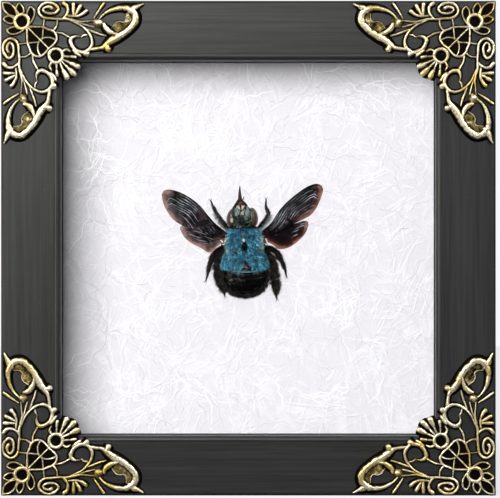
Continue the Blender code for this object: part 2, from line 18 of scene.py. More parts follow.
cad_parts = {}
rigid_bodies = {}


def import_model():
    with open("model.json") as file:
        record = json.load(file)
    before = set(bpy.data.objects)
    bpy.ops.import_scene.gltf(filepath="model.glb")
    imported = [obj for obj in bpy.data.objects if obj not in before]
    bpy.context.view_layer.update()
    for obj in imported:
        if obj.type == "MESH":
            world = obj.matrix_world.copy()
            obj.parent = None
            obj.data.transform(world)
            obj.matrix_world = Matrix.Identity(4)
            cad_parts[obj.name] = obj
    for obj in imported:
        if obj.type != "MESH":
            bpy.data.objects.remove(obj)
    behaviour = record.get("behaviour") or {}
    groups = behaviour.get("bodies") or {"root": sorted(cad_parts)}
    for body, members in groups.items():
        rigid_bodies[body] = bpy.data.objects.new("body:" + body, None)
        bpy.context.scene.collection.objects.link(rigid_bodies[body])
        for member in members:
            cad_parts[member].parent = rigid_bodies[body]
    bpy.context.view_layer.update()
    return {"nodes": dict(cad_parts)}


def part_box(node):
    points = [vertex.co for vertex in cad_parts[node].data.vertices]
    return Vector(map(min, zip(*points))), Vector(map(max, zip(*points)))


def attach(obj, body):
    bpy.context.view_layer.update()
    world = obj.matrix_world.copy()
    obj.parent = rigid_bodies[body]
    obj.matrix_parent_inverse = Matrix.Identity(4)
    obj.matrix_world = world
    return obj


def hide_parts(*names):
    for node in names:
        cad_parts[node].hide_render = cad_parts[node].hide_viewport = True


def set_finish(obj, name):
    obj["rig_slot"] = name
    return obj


MM = 0.001
BODY = "root"
Array = np.ndarray
Face = bmesh.types.BMFace
Node = bpy.types.Node
Shape = bmesh.types.BMesh
Points = Sequence[Sequence[float]]
log = logging.getLogger("framed_bee")


class Side(Enum):
    """A side of the bee, as the viewer sees it."""

    LEFT = -1
    RIGHT = 1


class Corner(Enum):
    """A corner of the frame, as quarter turns clockwise from the top left one."""

    TOP_LEFT = 0
    TOP_RIGHT = 1
    BOTTOM_RIGHT = 2
    BOTTOM_LEFT = 3


class Rail(Enum):
    """A rail of the frame, as quarter turns clockwise from the bottom one."""

    BOTTOM = 0
    LEFT = 1
    TOP = 2
    RIGHT = 3


class LampJob(Enum):
    """What a lamp is there for."""

    FILL = 0
    HIGHLIGHT = 1


@dataclass(frozen=True)
class Layout:
    """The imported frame's planes that the fine pieces are built on."""

    half: float
    front: float
    paper: float

    @classmethod
    def measured(cls) -> "Layout":
        """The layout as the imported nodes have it."""
        rail_low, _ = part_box("frame_rail_left")
        paper_low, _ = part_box("backing_paper")
        return cls(-rail_low.x, rail_low.y, paper_low.y)

    def on_paper(self, right: float, up: float, height: float) -> Vector:
        """A place given in millimetres from the frame's middle and over the paper."""
        return Vector((right * MM, self.paper - height * MM, self.half + up * MM))

    def turned(self, steps: int) -> Matrix:
        """Quarter turns clockwise about the frame's middle, from a piece modelled about the origin."""
        return Matrix.Translation((0, 0, self.half)) @ Matrix.Rotation(steps * math.pi / 2, 4, "Y")


def srgb(red: int, green: int, blue: int) -> tuple[float, float, float, float]:
    """A screen colour of 0 to 255 as the linear colour that a shader takes."""
    return (*(((c / 255 + 0.055) / 1.055) ** 2.4 if c > 10 else c / 3295 for c in (red, green, blue)), 1.0)


def ramp(value: float, width: float) -> float:
    """A value that rises from 0 to 1 over a width, and is held there."""
    return min(max(value / width, 0), 1)


def smoothed(points: Points, steps: int) -> list[Array]:
    """Points on a smooth curve through these ones, with each span divided into some steps."""
    knots = [np.array(point, float) for point in points]
    knots = [2 * knots[0] - knots[1], *knots, 2 * knots[-1] - knots[-2]]
    found = []
    for p0, p1, p2, p3 in zip(knots, knots[1:], knots[2:], knots[3:]):
        for t in np.arange(steps) / steps:
            bend = (2 * p0 - 5 * p1 + 4 * p2 - p3) * t * t + (3 * (p1 - p2) + p3 - p0) * t**3
            found.append((2 * p1 + (p2 - p0) * t + bend) / 2)
    return [*found, knots[-2]]


def everything(bm: Shape) -> list:
    """All the points, edges and faces of a shape."""
    return bm.verts[:] + bm.edges[:] + bm.faces[:]


def new_mesh(name: str, bm: Shape) -> bpy.types.Mesh:
    """Turns a shape into a mesh, and frees it."""
    mesh = bpy.data.meshes.new(name)
    bm.to_mesh(mesh)
    bm.free()
    return mesh


def merge(target: Shape, source: Shape) -> None:
    """Moves everything in one shape into another, and frees the first."""
    mesh = new_mesh("merged", source)
    target.from_mesh(mesh)
    bpy.data.meshes.remove(mesh)


def with_relief() -> tuple[Shape, object]:
    """An empty shape, and its layer for how high each point stands."""
    bm = bmesh.new()
    return bm, bm.verts.layers.float.new("relief")


def move(bm: Shape, matrix: Matrix) -> None:
    """Moves, turns or stretches a whole shape."""
    bmesh.ops.transform(bm, matrix=matrix, verts=bm.verts)


def face_outwards(bm: Shape) -> Shape:
    """Turns a closed shape's faces outwards."""
    bmesh.ops.recalc_face_normals(bm, faces=bm.faces)
    return bm


def close_holes(bm: Shape) -> None:
    """Fills every open edge loop."""
    bmesh.ops.holes_fill(bm, edges=[edge for edge in bm.edges if edge.is_boundary])


def bevelled(bm: Shape, edges: list, offset: float, segments: int = 2) -> None:
    """Rounds edges by an offset in millimetres."""
    bmesh.ops.bevel(
        bm, geom=edges, affect="EDGES", offset=offset * MM, segments=segments, profile=0.5, material=-1
    )


def extruded(bm: Shape, outline: Sequence, way: Sequence[float]) -> list:
    """Extrudes a face with this outline that way, and gives the edges of its far end."""
    face = bm.faces.new([bm.verts.new(place) for place in outline])
    grown = bmesh.ops.extrude_face_region(bm, geom=[face])["geom"]
    moved = [item for item in grown if isinstance(item, bmesh.types.BMVert)]
    bmesh.ops.translate(bm, vec=way, verts=moved)
    return [item for item in grown if isinstance(item, bmesh.types.BMEdge)]


def spin_round(bm: Shape, steps: int) -> None:
    """Spins a profile all the way round Z, and closes its seam and its ends."""
    geometry = bm.verts[:] + bm.edges[:]
    bmesh.ops.spin(
        bm, geom=geometry, cent=(0, 0, 0), axis=(0, 0, 1), angle=math.tau, steps=steps, use_merge=True
    )
    bmesh.ops.remove_doubles(bm, verts=bm.verts, dist=1e-4)
    close_holes(bm)


def turned_solid(profile: Points, steps: int) -> Shape:
    """A solid spun round Z from heights and the radius at each."""
    bm = bmesh.new()
    verts = [bm.verts.new((radius, 0, up)) for up, radius in profile]
    for pair in zip(verts, verts[1:]):
        bm.edges.new(pair)
    spin_round(bm, steps)
    return bm


def cut(bm: Shape, away: Sequence[float], height: float = 0, remove: bool = True, snap: float = 1e-7) -> None:
    """Cuts a shape along a plane at some height, and takes away what lies past it unless told not to."""
    plane = {"plane_co": (0, 0, height), "plane_no": away, "dist": snap}
    bmesh.ops.bisect_plane(bm, geom=everything(bm), clear_outer=remove, **plane)
    if remove:
        close_holes(bm)


def add_piece(
    name: str,
    shape: Shape | bpy.types.Mesh,
    finish: "Finish",
    slot: str,
    replaced: Sequence[str] = (),
    sharp: float = 40.0,
) -> None:
    """Makes an object of a finished shape that rides on the frame.

    Args:
        name: the piece's name.
        shape: its mesh, in its place.
        finish: what it is finished in.
        slot: the record's slot of that finish.
        replaced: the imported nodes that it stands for.
        sharp: the angle in degrees over which an edge stays sharp.
    """
    mesh = new_mesh(name, shape) if isinstance(shape, Shape) else shape
    mesh.materials.append(finish.material())
    mesh.shade_smooth()
    mesh.set_sharp_from_angle(angle=math.radians(sharp))
    piece = bpy.data.objects.new(name, mesh)
    bpy.context.scene.collection.objects.link(piece)
    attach(piece, BODY)
    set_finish(piece, slot)
    if replaced:
        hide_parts(*replaced)
    mesh.calc_loop_triangles()
    log.info("%s: %d triangles", name, len(mesh.loop_triangles))


def dress(node: bpy.types.Object, finish: "Finish") -> None:
    """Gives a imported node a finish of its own."""
    node.data.materials.clear()
    node.data.materials.append(finish.material())
    log.info("%s: dressed in %s", node.name, finish.name)


class NodeSheet:
    """Lays out the nodes of one material, world or node group."""

    def __init__(self, tree: bpy.types.NodeTree) -> None:
        """Starts with an empty tree."""
        self.tree = tree
        tree.nodes.clear()

    def fill(self, node: Node, inputs: dict) -> Node:
        """Sets a node's sockets to values, or links them to other nodes."""
        node.location.x = 180 * len(self.tree.nodes)
        for key, value in inputs.items():
            if isinstance(value, Node):
                value = value.outputs[0]
            if isinstance(value, bpy.types.NodeSocket):
                self.tree.links.new(value, node.inputs[key])
            else:
                node.inputs[key].default_value = value
        return node

    def add(self, kind: str, inputs: dict | None = None, **settings: object) -> Node:
        """Adds a shader node of this kind with its inputs and settings."""
        node = self.tree.nodes.new(f"ShaderNode{kind}")
        for key, value in settings.items():
            setattr(node, key, value)
        return self.fill(node, inputs or {})

    @cached_property
    def place(self) -> bpy.types.NodeSocket:
        """The place on the object."""
        return self.add("TexCoord").outputs["Object"]

    def effect(self, group: Callable, scale: float, place: object = None, **inputs: float) -> Node:
        """Places a node group at this scale, over the object's own coordinates unless others are given."""
        node = self.add("Group", node_tree=group())
        return self.fill(node, {"Vector": self.place if place is None else place, "Scale": scale, **inputs})

    def noise(self, place: object, scale: object, detail: float, distortion: float = 0.0) -> Node:
        """Plain noise."""
        inputs = {"Vector": place, "Scale": scale, "Detail": detail, "Distortion": distortion}
        return self.add("TexNoise", inputs)

    def mapped(self, place: object, **changes: tuple) -> bpy.types.NodeSocket:
        """A place that is turned by a Rotation or stretched by a Scale."""
        return self.add("Mapping", {"Vector": place, **changes}).outputs[0]

    def maths(self, operation: str, first: object, second: object = 0.0) -> Node:
        """A sum of two values."""
        return self.add("Math", {0: first, 1: second}, operation=operation)

    def remap(self, value: object, low: float, high: float, start: float = 0.0, end: float = 1.0) -> Node:
        """A value brought from one range to another, and held inside it."""
        inputs = {"Value": value, "From Min": low, "From Max": high, "To Min": start, "To Max": end}
        return self.add("MapRange", inputs)

    def mix(self, factor: object, first: object, second: object) -> bpy.types.NodeSocket:
        """A colour between two others."""
        return self.add("Mix", {0: factor, 6: first, 7: second}, data_type="RGBA").outputs[2]

    def bump(self, height: object, strength: float, depth: float) -> Node:
        """A normal that a height gives, with its depth in millimetres."""
        return self.add("Bump", {"Height": height, "Strength": strength, "Distance": depth * MM})

    def surface(self, colour: object, roughness: object, gloss: object = 0.5, **more: object) -> Node:
        """The shader of a solid surface. What else it takes has _ for the space in the socket's name."""
        inputs = {"Base Color": colour, "Roughness": roughness, "Specular IOR Level": gloss}
        inputs |= {key.replace("_", " "): value for key, value in more.items()}
        return self.add("BsdfPrincipled", inputs)


def node_group(output: str, **inputs: float | None) -> Callable:
    """Makes a node group of a function that lays out its nodes.

    Args:
        output: the name of the value that the group gives.
        **inputs: the default of each value that it takes, or None for a vector.

    Returns:
        What turns that function into one that gives the group, which is made once.
    """

    def wrap(lay_out: Callable) -> Callable:
        """Turns the function into one without arguments that gives the group."""

        @cache
        def group() -> bpy.types.NodeTree:
            """The group, made at its first use."""
            tree = bpy.data.node_groups.new(lay_out.__name__, "ShaderNodeTree")
            for key, default in inputs.items():
                kind = "NodeSocketVector" if default is None else "NodeSocketFloat"
                socket = tree.interface.new_socket(name=key, in_out="INPUT", socket_type=kind)
                if default is not None:
                    socket.default_value = default
            tree.interface.new_socket(name=output, in_out="OUTPUT", socket_type="NodeSocketFloat")
            sheet = NodeSheet(tree)
            source = tree.nodes.new("NodeGroupInput")
            result = lay_out(sheet, source.outputs)
            sheet.fill(tree.nodes.new("NodeGroupOutput"), {0: result})
            return tree

        return group

    return wrap


@node_group("Marks", Vector=None, Scale=1500.0)
def brush_marks(sheet: NodeSheet, given: bpy.types.NodeOutputs) -> Node:
    """Fine marks that run along the vertical, as a brush or a plane leaves them."""
    drawn = sheet.mapped(given["Vector"], Scale=(1, 1, 0.03))
    fine = sheet.noise(drawn, given["Scale"], 4.0)
    broad = sheet.noise(drawn, sheet.maths("MULTIPLY", given["Scale"], 0.22), 2.0)
    return sheet.remap(sheet.maths("ADD", fine, broad), 0.7, 1.3)


@node_group("Mask", Vector=None, Scale=2500.0, Share=0.35)
def specks(sheet: NodeSheet, given: bpy.types.NodeOutputs) -> Node:
    """Small scattered specks, such as dust, pores or pits: the tops of a fine noise."""
    grain = sheet.noise(given["Vector"], given["Scale"], 2.0)
    line = sheet.maths("SUBTRACT", 1.0, given["Share"])
    return sheet.remap(sheet.maths("SUBTRACT", grain, line), 0.0, 0.06)


@node_group("Cloud", Vector=None, Scale=200.0)
def mottle(sheet: NodeSheet, given: bpy.types.NodeOutputs) -> Node:
    """Soft cloudy unevenness."""
    return sheet.remap(sheet.noise(given["Vector"], given["Scale"], 3.0), 0.3, 0.7)


@node_group("Height", Vector=None, Scale=300.0, Turn=0.0)
def fibre_lines(sheet: NodeSheet, given: bpy.types.NodeOutputs) -> Node:
    """Thin long lines in patches, as fibres leave them: the level lines of a stretched noise."""
    axis = (0.0, 1.0, 0.0)
    turned = sheet.add("VectorRotate", {"Vector": given["Vector"], "Axis": axis, "Angle": given["Turn"]})
    waves = sheet.noise(sheet.mapped(turned, Scale=(1, 1, 0.16)), given["Scale"], 1.5, 0.5)
    level = sheet.maths("ABSOLUTE", sheet.maths("SUBTRACT", waves, 0.5))
    line = sheet.remap(level, 0.004, 0.05, 1.0, 0.0)
    patches = sheet.noise(turned, sheet.maths("MULTIPLY", given["Scale"], 0.45), 1.0)
    return sheet.maths("MULTIPLY", line, sheet.remap(patches, 0.48, 0.6))


@dataclass(frozen=True)
class Finish(ABC):
    """What a piece is finished in. Its material is made once."""

    name: str

    @abstractmethod
    def lay_out(self, sheet: NodeSheet) -> Node:
        """Lays out the nodes and returns the shader."""

    @cache
    def material(self) -> bpy.types.Material:
        """The material, made at its first use."""
        material = bpy.data.materials.new(self.name)
        material.use_nodes = True
        sheet = NodeSheet(material.node_tree)
        sheet.add("OutputMaterial", {"Surface": self.lay_out(sheet)})
        return material


@dataclass(frozen=True)
class CharcoalPaint(Finish):
    """Satin charcoal paint on wood, brushed along the rail."""

    runs_across: bool
    dark: tuple = srgb(15, 17, 16)
    light: tuple = srgb(42, 45, 43)
    dust: tuple = srgb(110, 112, 110)

    def lay_out(self, sheet: NodeSheet) -> Node:
        """Brush marks in the colour, the gloss and the surface, with a little dust."""
        place = sheet.place
        if self.runs_across:
            place = sheet.mapped(place, Rotation=(0, math.pi / 2, 0))
        marks = sheet.effect(brush_marks, 1400.0, place)
        dust = sheet.maths("MULTIPLY", sheet.effect(specks, 1300.0, place, Share=0.27), 0.35)
        colour = sheet.mix(dust, sheet.mix(marks, self.dark, self.light), self.dust)
        roughness = sheet.remap(marks, 0.0, 1.0, 0.45, 0.35)
        return sheet.surface(colour, roughness, 0.48, Normal=sheet.bump(marks, 0.3, 0.08))


@dataclass(frozen=True)
class PlainPaint(Finish):
    """Matt paint or a raw sheet, slightly uneven."""

    dark: tuple
    light: tuple
    roughness: float = 0.7
    gloss: float = 0.5

    def lay_out(self, sheet: NodeSheet) -> Node:
        """A cloudy colour over a fine grain."""
        colour = sheet.mix(sheet.effect(mottle, 220.0), self.dark, self.light)
        grain = sheet.effect(specks, 1600.0, Share=0.5)
        return sheet.surface(colour, self.roughness, self.gloss, Normal=sheet.bump(grain, 0.3, 0.06))


@dataclass(frozen=True)
class FibrePaper(Finish):
    """White paper embossed with long fibres that lie every way."""

    turns: tuple = (0.2, 0.85, 1.45, 2.1, 2.75)
    scales: tuple = (220.0, 330.0, 270.0, 400.0, 300.0)
    dark: tuple = (0.715, 0.695, 0.722, 1)
    light: tuple = (0.78, 0.763, 0.789, 1)

    def lay_out(self, sheet: NodeSheet) -> Node:
        """Fine fibre lines in five directions, and soft dents under them."""
        height: object = 0.0
        for turn, scale in zip(self.turns, self.scales):
            height = sheet.maths("ADD", height, sheet.effect(fibre_lines, scale, Turn=turn))
        colour = sheet.mix(sheet.remap(height, 0.0, 1.2), self.dark, self.light)
        dents = sheet.maths("MULTIPLY", sheet.effect(mottle, 110.0), 0.8)
        normal = sheet.bump(sheet.maths("ADD", height, dents), 0.8, 0.09)
        return sheet.surface(colour, 0.45, 0.4, Normal=normal)


@dataclass(frozen=True)
class PaperFibre(Finish):
    """Pressed fibre, whiter and glossier than the paper that it lies in."""

    white: float

    def lay_out(self, sheet: NodeSheet) -> Node:
        """White with a pearly gloss, uneven along the fibre."""
        cloud = sheet.effect(mottle, 500.0)
        low, high = self.white - 0.03, self.white + 0.02
        colour = sheet.mix(cloud, (low, low - 0.02, low, 1), (high, high - 0.02, high, 1))
        return sheet.surface(colour, sheet.remap(cloud, 0.0, 1.0, 0.3, 0.42), 0.8)


@dataclass(frozen=True)
class ClearGlass(Finish):
    """Clear glass that lets the lamps through to what it covers."""

    def lay_out(self, sheet: NodeSheet) -> Node:
        """Glass for what is seen through it, and nothing in the way of the light that falls on the paper."""
        tint = (0.985, 1.0, 0.992, 1)
        inputs = {"Base Color": tint, "Roughness": 0.0, "IOR": 1.45, "Transmission Weight": 1.0}
        glass = sheet.add("BsdfPrincipled", inputs)
        clear = sheet.add("BsdfTransparent", {"Color": (0.95, 0.965, 0.96, 1)})
        rays = sheet.add("LightPath").outputs
        scattered = sheet.maths("MAXIMUM", rays["Is Diffuse Ray"], rays["Is Glossy Ray"])
        passing = sheet.maths("MAXIMUM", rays["Is Shadow Ray"], scattered)
        return sheet.add("MixShader", {0: passing, 1: glass, 2: clear})


@dataclass(frozen=True)
class AntiqueBrass(Finish):
    """Cast brass, rubbed bright on its crowns and left dark in its hollows."""

    bright: tuple = srgb(255, 247, 216)
    gold: tuple = srgb(230, 202, 118)
    olive: tuple = srgb(132, 116, 68)
    dark: tuple = srgb(18, 13, 9)

    def lay_out(self, sheet: NodeSheet) -> Node:
        """Dark, olive and bright by the relief, with golden patches, broken by pits."""
        relief = sheet.add("Attribute", attribute_name="relief").outputs["Fac"]
        cloud = sheet.effect(mottle, 700.0)
        pits = sheet.effect(specks, 2600.0, Share=0.44)
        uneven = sheet.maths("MULTIPLY", sheet.maths("SUBTRACT", cloud, 0.45), 0.3)
        tone = sheet.maths("ADD", relief, uneven)
        rubbed = sheet.remap(tone, 0.8, 0.91)
        crown = sheet.mix(sheet.remap(sheet.effect(mottle, 90.0), 0.3, 0.9), self.bright, self.gold)
        # Below the olive the dark also colours each bar's low skirt, where it is patina and painted shadow
        # round the bar on the rail.
        colour = sheet.mix(rubbed, sheet.mix(sheet.remap(tone, 0.62, 0.8), self.dark, self.olive), crown)
        return sheet.surface(
            sheet.mix(sheet.maths("MULTIPLY", pits, 0.5), colour, self.dark),
            sheet.remap(rubbed, 0.0, 1.0, 0.6, 0.34),
            sheet.remap(rubbed, 0.0, 1.0, 0.08, 0.5),
            Metallic=0.88,
            Normal=sheet.bump(sheet.maths("SUBTRACT", cloud, pits), 0.7, 0.09),
        )


@dataclass(frozen=True)
class ZincSteel(Finish):
    """Zinc-plated steel with the marks of its rolling."""

    dark: tuple = srgb(140, 140, 136)
    light: tuple = srgb(196, 196, 190)

    def lay_out(self, sheet: NodeSheet) -> Node:
        """Clouded plating over rolling marks."""
        marks = sheet.effect(brush_marks, 1800.0)
        colour = sheet.mix(sheet.effect(mottle, 350.0), self.dark, self.light)
        roughness = sheet.remap(marks, 0.0, 1.0, 0.3, 0.5)
        return sheet.surface(colour, roughness, Metallic=1.0, Normal=sheet.bump(marks, 0.15, 0.05))


@dataclass(frozen=True)
class Chitin(Finish):
    """The hard glossy skin of an insect, finely pitted."""

    dark: tuple
    light: tuple
    roughness: float = 0.36
    gloss: float = 0.22

    def lay_out(self, sheet: NodeSheet) -> Node:
        """A cloudy dark colour under fine pits."""
        cloud = sheet.effect(mottle, 600.0)
        pits = sheet.effect(specks, 5200.0, Share=0.5)
        roughness = sheet.remap(cloud, 0.0, 1.0, self.roughness, self.roughness + 0.1)
        colour = sheet.mix(cloud, self.dark, self.light)
        return sheet.surface(colour, roughness, self.gloss, Normal=sheet.bump(pits, 0.4, 0.01))


@dataclass(frozen=True)
class EyeGlaze(Finish):
    """A compound eye: a brown dome of very fine facets."""

    fleck: tuple
    reach: tuple
    dark: tuple = srgb(34, 20, 18)
    light: tuple = srgb(100, 74, 60)
    # The colour of the painted highlight on the eye.
    pale: tuple = srgb(214, 202, 182)

    def lay_out(self, sheet: NodeSheet) -> Node:
        """Small cells on a clouded brown, with a pale painted highlight."""
        cells = sheet.add("TexVoronoi", {"Vector": sheet.place, "Scale": 9000.0})
        moved = sheet.add("VectorMath", {0: sheet.place, 1: self.fleck}, operation="SUBTRACT")
        scaled = sheet.add("VectorMath", {0: moved, 1: self.reach}, operation="DIVIDE")
        away = sheet.add("VectorMath", {0: scaled}, operation="LENGTH").outputs["Value"]
        colour = sheet.mix(sheet.effect(mottle, 380.0), self.dark, self.light)
        colour = sheet.mix(sheet.remap(away, 0.6, 1.1, 1.0, 0.0), colour, self.pale)
        normal = sheet.bump(cells.outputs["Distance"], 0.3, 0.02)
        return sheet.surface(colour, 0.3, Coat_Weight=0.2, Coat_Roughness=0.2, Normal=normal)


@dataclass(frozen=True)
class Hair(Finish):
    """Insect hair, coloured hair by hair."""

    def lay_out(self, sheet: NodeSheet) -> Node:
        """The colour that each hair carries."""
        return sheet.surface(sheet.add("Attribute", attribute_name="tone").outputs["Color"], 0.5, 0.35)


@dataclass(frozen=True)
class Membrane(Finish):
    """A smoky wing with a painted violet sheen on its fold crowns, clearer and browner towards its outer edge.
    """

    smoke: tuple = srgb(9, 6, 9)
    brown: tuple = srgb(82, 60, 60)
    amber: tuple = srgb(164, 126, 112)
    # Colours of the painted sheen on the fold crowns.
    violet: tuple = srgb(208, 198, 230)
    green: tuple = srgb(152, 188, 176)

    def lay_out(self, sheet: NodeSheet) -> Node:
        """Colour and clearness by nearness to the outer edge, painted sheen on the fold crowns, fine cross
        wrinkles.
        """
        edge, crown = (sheet.add("Attribute", attribute_name=name).outputs["Fac"] for name in ("edge", "crown"))
        cloud = sheet.effect(mottle, 420.0)
        near = sheet.maths("ADD", edge, sheet.maths("MULTIPLY", sheet.maths("SUBTRACT", cloud, 0.45), 0.5))
        colour = sheet.mix(sheet.remap(near, 0.0, 0.65), self.smoke, self.brown)
        colour = sheet.mix(sheet.remap(near, 0.62, 1.05), colour, self.amber)
        # Painted sheen: a violet-green highlight painted on the fold crowns, broken up by the cloud and fading
        # near the outer edge.
        broken = sheet.remap(cloud, 0.2, 0.7, 0.3, 1.0)
        sheen = sheet.maths("MULTIPLY", sheet.remap(crown, 0.55, 1.0), broken)
        sheen = sheet.maths("MULTIPLY", sheen, sheet.remap(near, 0.4, 0.95, 1.0, 0.1))
        colour = sheet.mix(sheen, colour, sheet.mix(sheet.effect(mottle, 130.0), self.green, self.violet))
        wrinkles = sheet.noise(sheet.place, 1500.0, 2.0)
        return sheet.surface(
            colour,
            0.25,
            0.3,
            Specular_Tint=(0.92, 0.88, 1.0, 1),
            Alpha=sheet.remap(near, 0.75, 1.05, 1.0, 0.72),
            Normal=sheet.bump(wrinkles, 0.2, 0.05),
        )


@dataclass(frozen=True)
class StudioFloor(Finish):
    """A pale matt floor that throws little light back up."""

    def lay_out(self, sheet: NodeSheet) -> Node:
        """Pale where it is seen, and dull for the light that it returns."""
        colour = sheet.mix(sheet.effect(mottle, 60.0), (0.24, 0.24, 0.24, 1), (0.27, 0.27, 0.27, 1))
        glow = sheet.add("Emission", {"Color": (1.0, 1.0, 1.0, 1), "Strength": 0.76})
        pale = sheet.add("AddShader", {0: sheet.add("BsdfDiffuse", {"Color": colour}), 1: glow})
        dull = sheet.add("BsdfDiffuse", {"Color": (0.16, 0.16, 0.16, 1)})
        seen = sheet.add("LightPath").outputs["Is Camera Ray"]
        return sheet.add("MixShader", {0: seen, 1: dull, 2: pale})


BLACK_CHITIN = Chitin("black_chitin_finish", srgb(2, 2, 3), srgb(5, 4, 6), 0.2, 0.15)
RIM_CHITIN = Chitin("plate_rim_finish", srgb(22, 19, 18), srgb(50, 43, 38), 0.5, 0.15)
SLIT_CHITIN = Chitin("slit_finish", srgb(18, 10, 22), srgb(44, 26, 50), 0.5, 0.2)
BLUE_RIM = Chitin("blue_rim_finish", srgb(70, 150, 172), srgb(150, 206, 216), 0.5, 0.2)
LEG_CHITIN = Chitin("leg_chitin_finish", srgb(12, 9, 9), srgb(30, 22, 20), 0.4)
TONGUE_CHITIN = Chitin("tongue_chitin_finish", srgb(30, 8, 14), srgb(58, 18, 24))
TAN_CHITIN = Chitin("tan_chitin_finish", srgb(140, 122, 104), srgb(212, 196, 178), 0.4)
PIT_CHITIN = Chitin("pit_chitin_finish", srgb(2, 2, 3), srgb(5, 4, 6), 0.6, 0.1)
PALE_CHITIN = Chitin("pale_chitin_finish", srgb(196, 200, 190), srgb(232, 234, 226), 0.45)
LIP_CHITIN = Chitin("lip_chitin_finish", srgb(40, 26, 18), srgb(104, 76, 50), 0.4)
DEEP_BLUE_CHITIN = Chitin("deep_blue_chitin_finish", srgb(6, 24, 34), srgb(14, 44, 58), 0.6)
HAIR = Hair("insect_hair_finish")


def lie_flat(vert: bmesh.types.BMVert) -> None:
    """Moves a point of a round section so that the section is domed, with a low skirt and a flat back."""
    # The skirt keeps a relief of 0, so it takes the brass's darkest colour: patina, and painted shadow round
    # the bar on the rail.
    if vert.co.y < 0.01:
        vert.co.x *= 1.56
    vert.co.y = max(vert.co.y, 0.0) ** 0.75


def first_cap(bm: Shape, radius: float, sides: int) -> Face:
    """Starts a solid with a round face about the origin."""
    bmesh.ops.create_circle(bm, cap_ends=True, radius=radius, segments=sides)
    bm.faces.ensure_lookup_table()
    return bm.faces[0]


def lengthened(bm: Shape, cap: Face) -> Face:
    """Extrudes the end face of a solid and gives the new end, with no face left inside the solid."""
    grown = bmesh.ops.extrude_face_region(bm, geom=[cap, *cap.edges])["geom"]
    return next(item for item in grown if isinstance(item, Face))


def copies(single: Shape, doublings: int, name: str) -> tuple[bpy.types.Mesh, Array]:
    """A mesh of a small shape, doubled that often, and the points of each copy."""
    bm = bmesh.new()
    merge(bm, face_outwards(single))
    for _ in range(doublings):
        bmesh.ops.duplicate(bm, geom=everything(bm))
    mesh = new_mesh(name, bm)
    points = np.empty(len(mesh.vertices) * 3, np.float32)
    mesh.vertices.foreach_get("co", points)
    return mesh, points.reshape(2**doublings, -1, 3).astype(float)


def sweep(stations: Sequence[Matrix], sides: int, domed: bool = False) -> Shape:
    """A solid that a round section leaves along a path.

    Args:
        stations: the section's place, turn and size at each step, with its way along as Z.
        sides: how many sides the section has.
        domed: gives the section a flat back and notes how high each point stands in "relief".

    Returns:
        The closed solid.
    """
    bm, relief = with_relief()
    cap = first_cap(bm, 1, sides)
    for vert in bm.verts:
        if domed:
            lie_flat(vert)
        vert[relief] = vert.co.y
    move(bm, stations[0])
    for before, after in zip(stations, stations[1:]):
        cap = lengthened(bm, cap)
        bmesh.ops.transform(bm, matrix=after @ before.inverted(), verts=cap.verts)
    return face_outwards(bm)


def limb(places: Sequence[Vector], radii: Sequence[float], sides: int = 10) -> Shape:
    """A round tapering solid through these places, with its radius in millimetres at each."""
    stations = []
    for i, (place, radius) in enumerate(zip(places, radii)):
        along = (places[min(i + 1, len(places) - 1)] - places[max(i - 1, 0)]).normalized()
        turn = along.to_track_quat("Z", "Y").to_matrix().to_4x4()
        size = radius * MM
        stations.append(Matrix.Translation(place) @ turn @ Matrix.Diagonal((size, size, size, 1)))
    return sweep(stations, sides)


def blob(place: Vector, half: Sequence[float], lean: float = 0.0, rings: int = 16) -> Shape:
    """A ball stretched to its half sizes in mm across, away and up, and leaned about the view's axis."""
    bm = bmesh.new()
    bmesh.ops.create_uvsphere(bm, u_segments=rings * 2, v_segments=rings, radius=1)
    turn = Matrix.Translation(place) @ Matrix.Rotation(lean, 4, "Y")
    size = Matrix.Diagonal((*(side * MM for side in half), 1))
    move(bm, turn @ size)
    return bm


@dataclass(frozen=True)
class Spots:
    """Places on a skin, as mm right of and above the frame's middle too, and the normals there."""

    places: Array
    right: Array
    up: Array
    normals: Array

    @property
    def away(self) -> Array:
        """How far each spot faces away from the viewer: -1 where it faces them."""
        return self.normals[:, 1]


